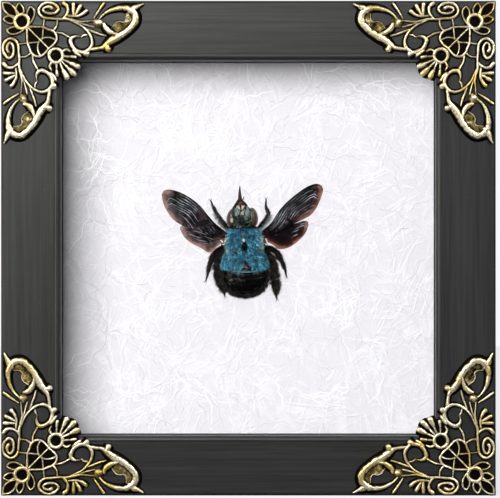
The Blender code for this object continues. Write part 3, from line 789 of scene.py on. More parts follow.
class Skin:
    """A surface that hairs grow on and small plates lie on."""

    def __init__(self, bm: Shape, layout: Layout) -> None:
        """Reads the surface of a closed shape."""
        mesh = bpy.data.meshes.new("skin")
        bm.to_mesh(mesh)
        mesh.calc_loop_triangles()
        corners = np.empty(len(mesh.loop_triangles) * 3, np.int32)
        mesh.loop_triangles.foreach_get("vertices", corners)
        points = np.empty(len(mesh.vertices) * 3, np.float32)
        mesh.vertices.foreach_get("co", points)
        triangles = points.reshape(-1, 3)[corners.reshape(-1, 3)].astype(float)
        # A fixed order, whatever order the operators left, so that the same seed gives the same hairs.
        middles = np.round(triangles.mean(axis=1) / (0.01 * MM))
        self.triangles = triangles[np.lexsort(middles.T)]
        self.tree = BVHTree.FromBMesh(bm)
        self.layout = layout
        bpy.data.meshes.remove(mesh)

    def at(self, right: float, up: float) -> Vector:
        """The point that the viewer sees there, in mm right of and above the frame's middle."""
        place = self.layout.on_paper(right, up, 0)
        point = self.tree.ray_cast(place - Vector((0, 0.02, 0)), Vector((0, 1, 0)))[0]
        return point or self.tree.find_nearest(place)[0]

    def line(self, points: Points, lift: float = 0.0) -> list[Vector]:
        """The points that the viewer sees at these places, lifted by some millimetres."""
        return [self.at(*point) - Vector((0, lift * MM, 0)) for point in points]

    def scatter(self, count: int, seed: int, keep: Callable) -> Spots:
        """Random spots on the surface.

        Args:
            count: how many.
            seed: the seed of their places.
            keep: takes a set of spots and gives the chance that each stays.

        Returns:
            The spots.
        """
        rng = np.random.default_rng(seed)
        a, b, c = (self.triangles[:, i] for i in range(3))
        cross = np.cross(b - a, c - a)
        area = np.linalg.norm(cross, axis=1)
        normals = cross / np.maximum(area, 1e-15)[:, None]
        places, faces = np.empty((0, 3)), np.empty((0, 3))
        while len(places) < count:
            picked = rng.choice(len(area), count * 2, p=area / area.sum())
            u, v = rng.random((2, len(picked)))
            u, v = np.where(u + v > 1, 1 - u, u), np.where(u + v > 1, 1 - v, v)
            found = a[picked] + u[:, None] * (b - a)[picked] + v[:, None] * (c - a)[picked]
            stays = rng.random(len(picked)) < keep(self.spots(found, normals[picked]))
            places = np.concatenate((places, found[stays]))
            faces = np.concatenate((faces, normals[picked][stays]))
        return self.spots(places[:count], faces[:count])

    def spots(self, places: Array, normals: Array) -> Spots:
        """Places and normals as spots."""
        return Spots(places, places[:, 0] / MM, (places[:, 2] - self.layout.half) / MM, normals)


@dataclass(frozen=True)
class Coat:
    """Hairs of one kind. Sizes are in millimetres."""

    doublings: int
    length: float
    width: float
    lift: float
    tangle: float
    bend: float
    tones: tuple
    seed: int
    tuft: int = 12
    pinch: float = 0.5
    patchiness: float = 0.4

    @staticmethod
    def one_hair() -> Shape:
        """A three-sided hair of unit length and width along Z, tapered to its tip."""
        bm = bmesh.new()
        cap = lengthened(bm, first_cap(bm, 0.5, 3))
        for vert in cap.verts:
            vert.co.z = 0.55
        bmesh.ops.scale(bm, vec=(0.8, 0.8, 1), verts=cap.verts)
        bmesh.ops.pointmerge(bm, verts=lengthened(bm, cap).verts, merge_co=(0, 0, 1))
        return bm

    def cover(
        self,
        skin: Skin,
        piece: str,
        slot: str,
        seed: int,
        keep: Callable,
        flow: Callable | tuple,
        shade: Callable | None = None,
    ) -> None:
        """Grows the coat on a skin as one piece.

        Args:
            skin: what it grows on.
            piece: the piece's name.
            slot: the record's slot of its finish.
            seed: the seed of the roots' places.
            keep: takes a set of spots and gives the chance that each grows a hair.
            flow: the way that the hairs are combed, or what gives it for their roots.
            shade: what gives how light the hairs are for their roots.
        """
        spots = skin.scatter(2**self.doublings, seed, keep)
        combed = flow(spots.places) if callable(flow) else np.array((flow,))
        light = shade(spots)[:, None] if shade else 1.0
        add_piece(piece, self.grow(spots.places, spots.normals, combed, light), HAIR, slot)

    def grow(self, roots: Array, normals: Array, flow: Array, shade: Array | float) -> bpy.types.Mesh:
        """Grows one hair at each root.

        Args:
            roots: where the hairs start.
            normals: the skin's normal at each root.
            flow: the way that each hair is combed.
            shade: how light the hairs are at each root.

        Returns:
            The mesh of all the hairs.
        """
        mesh, local = copies(self.one_hair(), self.doublings, "coat")
        count = len(roots)
        rng = np.random.default_rng(self.seed)
        middles = roots[rng.choice(count, max(count // self.tuft, 1), replace=False)]
        tuft = np.linalg.norm(roots[:, None] - middles[None], axis=2).argmin(1)
        combed = flow - (flow * normals).sum(1)[:, None] * normals
        combed /= np.maximum(np.linalg.norm(combed, axis=1), 1e-9)[:, None]
        way = normals * self.lift + combed * (1 - self.lift) + rng.normal(0, self.tangle * 0.4, (count, 3))
        way += rng.normal(0, self.tangle, (len(middles), 3))[tuft]
        way /= np.linalg.norm(way, axis=1)[:, None]
        side = np.cross(way, rng.normal(0, 1, (count, 3)))
        side /= np.linalg.norm(side, axis=1)[:, None]
        other = np.cross(way, side)
        length = self.length * MM * rng.uniform(0.55, 1.1, count)
        width = self.width * MM * rng.uniform(0.8, 1.2, count)
        bent = (combed - normals * 0.4) * self.bend + rng.normal(0, self.tangle * 0.3, (count, 3))
        along = local[:, :, 2, None]
        drawn = (middles[tuft] - roots) * self.pinch
        line = roots[:, None] + length[:, None, None] * (way[:, None] * along + bent[:, None] * along**2)
        line += drawn[:, None] * along**2
        across = local[:, :, 0, None] * side[:, None] + local[:, :, 1, None] * other[:, None]
        mesh.vertices.foreach_set("co", (line + across * width[:, None, None]).astype(np.float32).ravel())
        # Painted shade: each hair is darkened towards its root, where the coat shades it.
        self.colour(mesh, rng, tuft, along[:, :, 0] * 0.65 * shade + 0.35)
        return mesh

    def colour(self, mesh: bpy.types.Mesh, rng: np.random.Generator, tuft: Array, shade: Array) -> None:
        """Gives each tuft one of the tones, with painted shade that darkens each hair towards its root, in the
        attribute "tone".
        """
        tones = np.array([srgb(*tone) for tone in self.tones])[rng.integers(0, len(self.tones), tuft.max() + 1)]
        tones[:, :3] *= np.minimum(rng.lognormal(0, self.patchiness, len(tones)), 1.7)[:, None]
        tones = tones[tuft]
        tones[:, :3] *= rng.uniform(0.85, 1.15, len(tuft))[:, None]
        shades = tones[:, None, :] * shade[:, :, None]
        shades[:, :, 3] = 1
        attribute = mesh.attributes.new("tone", "FLOAT_COLOR", "POINT")
        attribute.data.foreach_set("color", shades.astype(np.float32).ravel())
        mesh.update()


@dataclass(frozen=True)
class Bar:
    """One cast bar of a corner. Its points are two distances from the corner and a width, in mm."""

    height: float
    points: tuple
    mirrored: bool = True


@dataclass(frozen=True)
class Plate:
    """A sunken plate between the bars of a corner, with its outline in mm from the corner."""

    height: float
    outline: tuple
    mirrored: bool = True
    relief: float = 0.16


BARS = (
    # Spiral and the stem that runs on from it
    Bar(1.3, (
        (15.45, 2.3, 1.03), (14.54, 1.88, 0.88), (13.21, 2.24, 0.67), (12.85, 2.94, 0.67), (13.57, 3.64, 0.7),
        (15.06, 3.91, 0.73), (16.76, 3.58, 0.76), (17.48, 2.48, 0.79), (16.42, 1.21, 0.82), (14.7, 0.64, 0.79),
        (12.85, 1, 0.79), (11.57, 2.51, 0.76), (11.79, 4.06, 0.73), (13.18, 5.21, 0.73), (15.54, 5.45, 0.7),
        (17.88, 5.64, 0.73), (20, 5.58, 0.76), (22.12, 6.03, 0.73), (24.24, 6.45, 0.61), (26.36, 6.24, 0.45),
        (28.48, 6.12, 0.39),
    )),
    # Fan of four buds on a short foot
    Bar(1.2, (
        (19.06, 0.8, 1.15), (20.09, 1.7, 0.97), (20.36, 3.15, 0.79), (19.85, 4.42, 0.73), (18.85, 5.58, 0.67),
    )),
    Bar(1.2, ((22, 1.03, 1.03), (22.03, 2.27, 0.97), (22.03, 4.18, 0.58))),
    Bar(1.2, ((24.18, 1.51, 1.03), (23.57, 2.67, 0.97), (22.66, 4.24, 0.58))),
    Bar(1.2, ((25.88, 3.12, 1.15), (24.97, 3.94, 0.97), (23.18, 4.73, 0.67), (20.6, 4.61, 0.67))),
    # Curl that hangs from the stem and ends in a crescent
    Bar(1.3, (
        (20.3, 5.7, 0.39), (22.36, 6.64, 0.52), (24.42, 7.64, 0.61), (26.24, 9.27, 0.7), (27.39, 11.15, 0.76),
        (27.69, 13, 0.85), (26.85, 14.73, 1), (25.21, 15.67, 1.09), (23.21, 15.27, 1.03), (21.69, 13.82, 1),
        (21.15, 12.12, 1.15), (21.82, 11.15, 0.97), (23.03, 10.79, 0.58), (24.24, 11.03, 0.27),
    )),
    # Light scar inside the curl
    Bar(0.5, ((24.39, 11.09, 0.3), (25.27, 10.48, 0.55), (26.54, 10.27, 0.3))),
    # Knobs under the curl
    Bar(1.45, ((25.42, 15.82, 1.33), (26.12, 16.24, 1.7))),
    Bar(1.35, ((21.94, 15.03, 0.73), (22.97, 15.94, 0.97), (24.12, 16.73, 0.67))),
    # Stems and blade that meet at the ball
    Bar(0.9, ((23.79, 6.73, 0.36), (25.75, 7.33, 0.48), (28.33, 8, 0.45))),
    Bar(1.0, ((25.75, 8.61, 0.39), (27.88, 9.36, 0.58), (29.85, 10.12, 0.64), (31.81, 10.67, 0.48))),
    Bar(1.1, ((28.24, 5.33, 0.39), (29.57, 3.21, 0.67), (31.2, 0.9, 0.79))),
    # Leaf beside the ball
    Bar(1.3, (
        (31.33, 6.97, 0.79), (31.63, 8.18, 1.39), (32.85, 9.33, 1.45), (34.24, 9.94, 0.97),
        (35.63, 10.12, 0.48),
    )),
    # Teardrop loop at the arm's end and the tail that returns to the curl
    Bar(1.4, (
        (29.88, 5.58, 0.48), (31.09, 4.3, 0.67), (32.72, 3.21, 0.91), (34.72, 2.51, 1.18), (37.09, 2.24, 1.39),
        (39.21, 2.79, 1.76), (40.66, 4.36, 1.82), (40.78, 6.24, 1.82), (39.75, 7.82, 1.76), (38, 9.45, 1.7),
        (35.88, 10.79, 1.88), (33.81, 11.94, 1.88), (32.12, 13.27, 1.58), (30.78, 14.24, 1.09),
        (29.21, 14.54, 0.94), (27.39, 14.79, 0.91),
    )),
    # Spur on the loop and knob on its tail
    Bar(1.3, ((38.97, 3.15, 1.7), (40.48, 2.24, 1.58), (41.81, 1.7, 0.91), (43.15, 1.03, 0.55))),
    Bar(1.45, ((32.18, 13.82, 1.39), (32.66, 14.91, 1.7))),
    # Pale edge of the leaf inside the loop
    Bar(0.75, (
        (33.63, 8.36, 0.24), (34.72, 6.85, 0.3), (36, 6.3, 0.33), (37, 6.54, 0.33), (37.88, 5.82, 0.33),
        (38.06, 3.91, 0.27),
    )),
    # Upper edge of the lattice leaf, its veins and its ties
    Bar(1.2, (
        (8.36, 7.94, 0.61), (10.73, 7.97, 0.61), (12.85, 8.09, 0.61), (14.36, 8.7, 0.64), (15.7, 9.18, 0.7),
        (16.66, 10.18, 0.7), (16.97, 11.39, 0.67), (16.6, 12.6, 0.64), (15.57, 13.7, 0.61),
        (14.42, 14.54, 0.58),
    )),
    Bar(1.0, ((13.21, 5.33, 0.39), (12.91, 8.09, 0.48), (12.73, 9.85, 0.42), (12.6, 11.7, 0.36))),
    Bar(0.9, ((12.18, 11.57, 0.36), (13.82, 11.18, 0.42), (15.39, 11.33, 0.45), (16.85, 12.06, 0.42))),
    Bar(1.1, ((17.15, 5.76, 0.42), (16.97, 7.58, 0.52), (15.94, 9.15, 0.58))),
    Bar(1.0, ((16.24, 9.57, 0.48), (17.97, 9.76, 0.55), (19.15, 10.18, 0.58), (21.09, 11.33, 0.48))),
    # Petals of the flower
    Bar(1.2, (
        (5.76, 4.42, 0.42), (4.85, 3.15, 0.48), (4.79, 1.94, 0.48), (5.61, 0.85, 0.52), (6.67, 1.94, 0.48),
        (6.97, 3.21, 0.48), (6.48, 4.48, 0.42),
    )),
    Bar(1.2, (
        (8, 5.15, 0.42), (8.06, 3.45, 0.45), (8.91, 1.94, 0.52), (10, 2.67, 0.48), (10.18, 4.36, 0.48),
        (9.39, 6.24, 0.45), (8.48, 7.27, 0.36),
    )),
    Bar(1.2, ((4.97, 4.73, 0.45), (4.18, 2.24, 0.48), (2.55, 0.85, 0.52), (0.62, 0.62, 0.61))),
    # Ribs and lobes of the shell
    Bar(1.15, ((18.18, 15.7, 0.55), (19.88, 14.79, 0.67), (21.09, 15.39, 0.39))),
    Bar(1.1, ((18.48, 16.79, 0.45), (20.48, 16.94, 0.58))),
    Bar(1.15, ((21.03, 16.91, 0.61), (22.6, 17.15, 0.97))),
    Bar(1.1, ((18.42, 17.76, 0.45), (20.6, 18.66, 0.64))),
    Bar(1.2, ((21.15, 18.91, 0.85), (22.18, 19.45, 1.33), (23.33, 20, 1.58))),
    # Spine along the diagonal and the shell's middle lobe
    Bar(1.0, ((8.18, 8.18, 0.48), (11.88, 11.88, 0.45), (14.85, 14.85, 0.48)), mirrored=False),
    Bar(1.1, ((18.36, 18.36, 0.45), (20.06, 20.06, 0.64)), mirrored=False),
    Bar(1.2, ((20.48, 20.48, 0.85), (21.39, 21.39, 1.39), (22.24, 22.24, 1.64)), mirrored=False),
)
PLATES = (
    Plate(0.45, ((5.03, 3.45), (4.97, 1.94), (5.61, 1.03), (6.54, 1.94), (6.79, 3.45), (5.91, 4.36))),
    Plate(0.45, ((8.18, 4.91), (8.24, 3.51), (8.97, 2.18), (9.88, 2.91), (10, 4.3), (9.21, 6), (8.48, 6.48))),
    Plate(0.6, (
        (33.75, 8.3), (34.78, 6.85), (36, 6.36), (37, 6.61), (37.88, 5.88), (38.12, 3.82), (39.87, 4.12),
        (40.48, 5.76), (39.39, 7.58), (37.75, 9.21), (35.39, 9.76),
    ), relief=0.72),
    Plate(0.45, ((4.85, 4.42), (4, 2.36), (2.42, 1.03), (0.79, 0.79)), mirrored=False),
    Plate(0.45, (
        (8.67, 8), (10.73, 8), (12.85, 8.15), (14.36, 8.76), (15.7, 9.24), (16.66, 10.24), (16.97, 11.39),
        (16.6, 12.6), (15.57, 13.7), (14.48, 14.48),
    ), mirrored=False),
    Plate(0.5, (
        (17.27, 15.03), (19.88, 14.67), (21.15, 15.39), (22, 16.3), (23.21, 16.97), (23.39, 18.3),
        (23.82, 19.45), (23.69, 20.73), (23.09, 21.63), (22.66, 22.66),
    ), mirrored=False),
)


@dataclass
class CornerOrnament:
    """The openwork brass casting on each corner. Sizes are in millimetres."""

    sides: int = 16
    steps: int = 4
    spread: float = 1.44
    ball_place: tuple = (29.6, 6.8)
    ball_radius: float = 1.62
    flower_ring: tuple = (6.4, 2.12, 0.74)
    shell_ring: tuple = (16.7, 2.06, 0.68)
    ring_height: float = 1.3
    cup_height: float = 0.3
    cup_relief: float = 0.16
    sunk: float = 0.04
    inset: float = 0.02

    def station(self, point: Array, along: Array, scale: float, height: float) -> Matrix:
        """The place of a bar's section: across the bar, out of the frame, and along it."""
        across = Vector((-along[1], along[0], 0)) * point[2] / 2 * self.spread * scale
        out = Vector((0, 0, 1)) * height * (0.35 + 0.65 * scale)
        columns = (across, out, Vector((along[0], along[1], 0)))
        turn = Matrix([[*(column[row] for column in columns), 0] for row in range(3)] + [[0, 0, 0, 1]])
        return Matrix.Translation((point[0], point[1], 0)) @ turn

    def bar(self, bar: Bar, swapped: bool) -> Shape:
        """One bar with rounded ends, on either arm."""
        points = smoothed([(v, u, w) if swapped else (u, v, w) for u, v, w in bar.points], self.steps)
        stations = []
        last = len(points) - 1
        ends = {0: (-0.42, -0.3, -0.12), last: (0.12, 0.3, 0.42)}
        for i, point in enumerate(points):
            along = points[min(i + 1, last)] - points[max(i - 1, 0)]
            along = along[:2] / np.linalg.norm(along[:2])
            for way in ends.get(i, (0.0,)):
                moved = point + np.array((*along, 0)) * way * point[2]
                stations.append(self.station(moved, along, math.sqrt(1 - (way / 0.46) ** 2), bar.height))
        return sweep(stations, self.sides, domed=True)

    def plate(self, plate: Plate, swapped: bool) -> Shape:
        """A sunken plate of even thickness."""
        outline = [(v, u) if swapped else (u, v) for u, v in plate.outline]
        if not plate.mirrored:
            outline += [(v, u) for u, v in reversed(plate.outline) if abs(u - v) > 0.01]
        bm, relief = with_relief()
        extruded(bm, [(*place, 0) for place in outline], (0, 0, plate.height))
        for vert in bm.verts:
            vert[relief] = plate.relief
        return face_outwards(bm)

    def ring(self, middle: float, radius: float, half_width: float) -> Shape:
        """A domed ring on the diagonal."""
        bm, relief = with_relief()
        for vert in bmesh.ops.create_circle(bm, radius=1, segments=self.sides)["verts"]:
            lie_flat(vert)
            vert[relief] = vert.co.y
            vert.co = (radius + vert.co.x * half_width, 0, vert.co.y * self.ring_height)
        spin_round(bm, 48)
        bmesh.ops.translate(bm, vec=(middle, middle, 0), verts=bm.verts)
        return face_outwards(bm)

    def cup(self, middle: float, radius: float) -> Shape:
        """The dark floor inside a ring on the diagonal."""
        bm, relief = with_relief()
        deep = self.cup_height
        bmesh.ops.create_cone(bm, cap_ends=True, segments=32, radius1=radius, radius2=radius * 0.9, depth=deep)
        for vert in bm.verts:
            vert[relief] = self.cup_relief
        bmesh.ops.translate(bm, vec=(middle, middle, deep / 2), verts=bm.verts)
        return bm

    def ball(self, swapped: bool) -> Shape:
        """The ball at the root of an arm's teardrop, with its back cut flat."""
        bm, relief = with_relief()
        bmesh.ops.create_icosphere(bm, subdivisions=4, radius=self.ball_radius)
        cut(bm, (0, 0, -1), snap=0)
        for vert in bm.verts:
            vert[relief] = 0.56 + 0.3 * max(vert.co.z, 0) / self.ball_radius
        right, down = reversed(self.ball_place) if swapped else self.ball_place
        bmesh.ops.translate(bm, vec=(right, down, 0), verts=bm.verts)
        return bm

    def casting(self) -> Shape:
        """The whole casting in mm, from its corner along both arms, with its height as Z."""
        whole, _ = with_relief()
        for make, shapes in ((self.plate, PLATES), (self.bar, BARS)):
            for shape in shapes:
                for swapped in (False, True)[: 1 + shape.mirrored]:
                    merge(whole, make(shape, swapped))
        for swapped in (False, True):
            merge(whole, self.ball(swapped))
        merge(whole, self.cup(*self.flower_ring[:2]))
        merge(whole, self.ring(*self.flower_ring))
        merge(whole, self.ring(*self.shell_ring))
        for vert in whole.verts:
            vert.co.x, vert.co.y = max(vert.co.x, self.inset), max(vert.co.y, self.inset)
        return whole

    def build(self, layout: Layout) -> None:
        """Puts a casting on each corner."""
        finish = AntiqueBrass("antique_brass_finish")
        whole = self.casting()
        # Right of the corner stays right, down becomes down, and out of the drawing becomes forwards.
        laid = Matrix(((MM, 0, 0, -layout.half), (0, 0, -MM, 0), (0, -MM, 0, layout.half), (0, 0, 0, 1)))
        laid.translation.y = layout.front + self.sunk * MM
        for corner in Corner:
            bm = whole.copy()
            move(bm, layout.turned(corner.value) @ laid)
            name = corner.name.lower()
            add_piece(f"brass_corner_{name}", bm, finish, "antique_brass", [f"corner_ornament_{name}"])
        whole.free()


@dataclass
class PressedFibres:
    """The long fibres that stand out of the backing paper. Sizes are in millimetres."""

    layout: Layout
    name: str = "paper_fibres"
    doublings: int = 10
    segments: int = 20
    span: float = 116.0
    length: tuple = (2.25, 0.6)
    width: tuple = (0.1, 0.24)
    rise: tuple = (0.06, 0.11)
    bend: float = 0.32
    sway: float = 0.16
    bundled: float = 0.35
    bundle_gap: float = 0.75
    gathered: float = 1.0
    white: float = 0.84
    seed: int = 77

    def one_fibre(self) -> Shape:
        """A four-sided fibre of unit length along Z and unit width, closed at both ends."""
        bm = bmesh.new()
        cap = first_cap(bm, 1, 4)
        for step in range(self.segments):
            cap = lengthened(bm, cap)
            for vert in cap.verts:
                vert.co.z = (step + 1) / self.segments
        return bm

    def paths(self, rng: np.random.Generator, count: int) -> tuple[Array, Array]:
        """Where each fibre starts, and which way it heads: some lie side by side in bundles.

        The more they are gathered, the more of them start high on the left.
        """
        starts = (rng.random((count, 2)) ** self.gathered - 0.5) * self.span * (1, -1)
        turns = rng.uniform(0, math.tau, count)
        for i in range(1, count):
            if rng.random() < self.bundled:
                across = np.array((-math.sin(turns[i - 1]), math.cos(turns[i - 1])))
                along = np.array((across[1], -across[0]))
                starts[i] = starts[i - 1] + across * rng.uniform(0.5, 1.4) * self.bundle_gap
                starts[i] += along * rng.normal(0, 1.5)
                turns[i] = turns[i - 1] + rng.normal(0, 0.12)
        return starts, turns

    def build(self) -> None:
        """Bends every fibre and presses it into the paper."""
        mesh, local = copies(self.one_fibre(), self.doublings, self.name)
        count = len(local)
        rng = np.random.default_rng(self.seed)
        starts, turns = self.paths(rng, count)
        length = rng.lognormal(*self.length, count)
        bend, sway = rng.normal(0, self.bend, count), rng.normal(0, self.sway, count)
        phase = rng.uniform(0, math.tau, count)
        share = local[:, :, 2]
        heading = turns[:, None] + bend[:, None] * share + sway[:, None] * np.sin(3 * share + phase[:, None])
        heading += 0.05 * np.sin(19 * share + 5 * phase[:, None])
        taper = np.sin(math.pi * np.clip(share * 0.94 + 0.03, 0, 1)) ** 0.5
        wide = rng.uniform(*self.width, count)[:, None] / 2 * taper
        high = rng.uniform(*self.rise, count)[:, None] * taper
        side = local[:, :, 0] * wide
        right = starts[:, 0, None] + length[:, None] * share * np.cos(heading) - side * np.sin(heading)
        up = starts[:, 1, None] + length[:, None] * share * np.sin(heading) + side * np.cos(heading)
        reach = self.span / 2 - 0.5
        right, up = np.clip(right, -reach, reach), np.clip(up, -reach, reach)
        places = np.stack((right, local[:, :, 1] * high, up), axis=2) * MM
        places += (0, self.layout.paper, self.layout.half)
        mesh.vertices.foreach_set("co", places.astype(np.float32).ravel())
        mesh.update()
        finish = PaperFibre(f"{self.name}_finish", self.white)
        add_piece(self.name, mesh, finish, "white_fibre_paper", sharp=80)


@dataclass
class BoxFrame:
    """The four painted rails and what they hold. Sizes are in millimetres."""

    width: float = 18.2
    depth: float = 28.0
    lip: float = 4.0
    rebate: float = 4.0
    outer_arris: float = 1.0
    inner_arris: float = 1.6
    bead_groove: float = 0.14
    arc_steps: int = 8

    def arc(self, centre: tuple, radius: float, start: float) -> list[tuple[float, float]]:
        """A quarter of a circle in the section, from an angle in degrees."""
        angles = [math.radians(start + 90 * i / self.arc_steps) for i in range(self.arc_steps + 1)]
        return [(centre[0] + radius * math.cos(a), centre[1] + radius * math.sin(a)) for a in angles]

    def section(self) -> list[tuple[float, float]]:
        """The rail's section, across the rail from its outer side and back from its front."""
        bead = self.width - self.inner_arris
        return [
            *self.arc((self.outer_arris, self.outer_arris), self.outer_arris, 180),
            (bead - 0.55, 0), (bead - 0.4, self.bead_groove), (bead - 0.22, self.bead_groove),
            *self.arc((bead, self.inner_arris), self.inner_arris, 270),
            (self.width, self.lip), (self.width - self.rebate, self.lip),
            (self.width - self.rebate, self.depth), (0, self.depth),
        ]

    def rail(self, layout: Layout) -> Shape:
        """The bottom rail about the frame's middle, mitred at both ends."""
        bm = bmesh.new()
        half = layout.half
        places = [(-half, layout.front + back * MM, -half + across * MM) for across, back in self.section()]
        extruded(bm, places, (2 * half, 0, 0))
        for way in (-1, 1):
            cut(bm, (way, 0, 1))
        return face_outwards(bm)

    def build(self, layout: Layout, nodes: dict) -> None:
        """Makes the rails and dresses the glass and the layers behind it."""
        finishes = (CharcoalPaint("paint_across", True), CharcoalPaint("paint_upwards", False))
        black = PlainPaint("spacer_finish", srgb(22, 22, 22), srgb(32, 32, 31), 0.8, 0.15)
        for rail in Rail:
            bm = self.rail(layout)
            move(bm, layout.turned(rail.value))
            name = rail.name.lower()
            finish = finishes[rail.value % 2]
            add_piece(f"painted_rail_{name}", bm, finish, "charcoal_painted_wood", [f"frame_rail_{name}"])
            dress(nodes[f"spacer_{name}"], black)
        dress(nodes["glass_pane"], ClearGlass("clear_glass_finish"))
        dress(nodes["backing_paper"], FibrePaper("fibre_paper_finish"))
        dress(nodes["backing_board"], PlainPaint("fibreboard_finish", srgb(132, 100, 68), srgb(148, 114, 80)))


@dataclass
class BackFittings:
    """The steel tabs and the serrated hanging plate behind the board. Sizes are in millimetres."""

    layout: Layout
    corner_radius: float = 1.6
    edge_radius: float = 0.08
    rib_radius: float = 0.42
    ribs: tuple = (-2.4, 2.4)
    bend_start: float = 1.0
    bend: float = 0.022
    cuts: int = 10
    nail_radius: float = 1.0
    nail_height: float = 0.3
    teeth: int = 9
    tooth_depth: float = 1.6
    rim: float = 0.14

    def nail(self, right: float, back: float, up: float) -> Shape:
        """A domed nail head that stands out backwards from this place in metres."""
        size = (self.nail_radius, self.nail_height, self.nail_radius)
        return blob(Vector((right, back, up)), size, rings=12)

    def tab(self) -> Shape:
        """The bottom tab: rounded at its free end, ribbed, slightly bent up and nailed."""
        low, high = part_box("board_tab_bottom")
        size, middle = high - low, (low + high) / 2
        bm, _ = with_relief()
        bmesh.ops.create_cube(bm, size=1)
        move(bm, Matrix.Diagonal((*size, 1)))
        upright = [e for e in bm.edges if abs(e.verts[0].co.y - e.verts[1].co.y) > size.y / 2]
        bevelled(bm, [edge for edge in upright if edge.verts[0].co.z > 0], self.corner_radius, 8)
        bevelled(bm, [edge for edge in bm.edges if abs(edge.calc_face_angle(0)) > 1.2], self.edge_radius)
        for height in np.linspace(-size.z / 2, size.z / 2, self.cuts + 2)[1:-1]:
            cut(bm, (0, 0, 1), height, remove=False)
        for vert in bm.verts:
            vert.co.y += self.bend * MM * max(vert.co.z / MM - self.bend_start, 0) ** 2
        back = size.y / 2
        for right in self.ribs:
            places = [Vector((right * MM, back, up * MM)) for up in (-3.2, -2.6, -1.0, 0.4, 1.0)]
            merge(bm, limb(places, [share * self.rib_radius for share in (0.1, 0.8, 1.0, 0.8, 0.1)], 12))
        for right in (-5.0, 5.0):
            merge(bm, self.nail(right * MM, back, -2.4 * MM))
        bmesh.ops.translate(bm, vec=middle - Vector((0, 0, self.layout.half)), verts=bm.verts)
        return bm

    def hanger(self) -> Shape:
        """The hanging plate: toothed along its lower edge, with a pressed bar and a nail at each end."""
        low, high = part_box("hanging_plate")
        half, tooth = high.x, 2 * high.x / self.teeth
        edge = []
        for i in range(self.teeth):
            edge += [(-half + i * tooth, low.z), (-half + (i + 0.5) * tooth, low.z + self.tooth_depth * MM)]
        edge.append((half, low.z))
        radius = self.corner_radius * MM
        for right, start in ((half - radius, 0), (-half + radius, 90)):
            for step in range(7):
                angle = math.radians(start + 15 * step)
                edge.append((right + radius * math.cos(angle), high.z - radius + radius * math.sin(angle)))
        bm, _ = with_relief()
        rim = extruded(bm, [(right, low.y, up) for right, up in edge], (0, high.y - low.y, 0))
        bevelled(bm, rim, self.rim)
        face_outwards(bm)
        middle = (low.z + high.z) / 2 + 1.4 * MM
        places = [Vector((right * MM, high.y, middle)) for right in (-14.5, -13.6, -12, 12, 13.6, 14.5)]
        merge(bm, limb(places, [share * 0.25 for share in (0.1, 0.7, 1.0, 1.0, 0.7, 0.1)], 12))
        for right in (-17.2, 17.2):
            merge(bm, self.nail(right * MM, high.y - 0.06 * MM, middle))
        return bm

    def build(self) -> None:
        """Makes the four tabs and the hanging plate."""
        steel = ZincSteel("zinc_steel_finish")
        for rail in Rail:
            bm = self.tab()
            move(bm, self.layout.turned(rail.value))
            name = rail.name.lower()
            add_piece(f"steel_tab_{name}", bm, steel, "zinc_plated_steel", [f"board_tab_{name}"])
        add_piece("toothed_hanger", self.hanger(), steel, "zinc_plated_steel", ["hanging_plate"], 30)


# Painted highlights on the wings' roots, as pale blobs: right, up, height over the paper, half sizes and lean
ROOT_PAINTED_HIGHLIGHTS = (
    (-8.1, 2.1, 7.0, (0.22, 0.2, 0.62), -0.8),
    (-7.1, 2.2, 7.2, (0.2, 0.2, 0.5), 0.5),
    (-7.6, 1.2, 6.6, (0.18, 0.18, 0.5), 1.1),
    (5.5, 2.5, 7.0, (0.24, 0.2, 0.6), -0.4),
    (4.2, 2.3, 7.2, (0.2, 0.2, 0.5), 0.7),
    (5.4, 1.2, 6.8, (0.2, 0.18, 0.45), -0.9),
)
FACE_PLATES = (
    ("left", ((-3.75, 12.95), (-2.75, 13.1), (-2.42, 11.55), (-2.75, 11.75), (-3.6, 12.45)), TAN_CHITIN),
    ("right", ((-2.15, 13.1), (-1.05, 13.0), (-1.6, 12.1), (-2.05, 11.6)), TAN_CHITIN),
    ("lip", ((-3.0, 14.0), (-2.3, 14.25), (-1.7, 14.0), (-1.8, 13.35), (-2.9, 13.35)), LIP_CHITIN),
    ("middle", ((-2.2, 11.0), (-1.5, 11.05), (-1.3, 10.4), (-1.7, 10.0), (-2.2, 10.4)), TAN_CHITIN),
)
FACE_SUTURES = (
    ((-4.3, 12.5), (-3.6, 12.2), (-2.9, 11.6), (-2.3, 11.3)),
    ((-0.35, 12.6), (-0.75, 12.1), (-1.1, 11.6), (-1.5, 11.3), (-2.0, 11.45), (-2.3, 11.3)),
    ((-2.3, 11.3), (-2.25, 12.2), (-2.42, 13.3)),
    ((-4.2, 12.6), (-3.9, 11.6), (-4.35, 10.4), (-4.5, 9.0), (-4.2, 7.6)),
    ((-0.3, 12.6), (0.3, 11.4), (0.55, 10.0), (0.45, 8.6), (0.0, 7.4)),
)
# Limbs as mm right, up and over the paper with a radius
JAW_LEFT = ((-4.1, 11.9, 4.9, 0.5), (-3.9, 13.0, 5.2, 0.55), (-3.2, 14.1, 5.0, 0.42), (-2.7, 14.8, 4.7, 0.2))
JAW_RIGHT = ((-0.6, 11.9, 4.9, 0.5), (-0.8, 13.0, 5.2, 0.55), (-1.6, 14.1, 5.0, 0.42), (-2.1, 14.8, 4.7, 0.2))
TONGUE = (
    (-2.55, 14.6, 4.2, 0.68), (-2.6, 15.6, 4.1, 0.58), (-2.66, 16.8, 3.9, 0.42), (-2.66, 18.0, 3.6, 0.28),
    (-2.62, 19.15, 3.4, 0.1),
)
PALP = ((-1.9, 14.6, 4.4, 0.2), (-1.5, 15.3, 4.4, 0.16), (-1.35, 15.9, 4.2, 0.08))
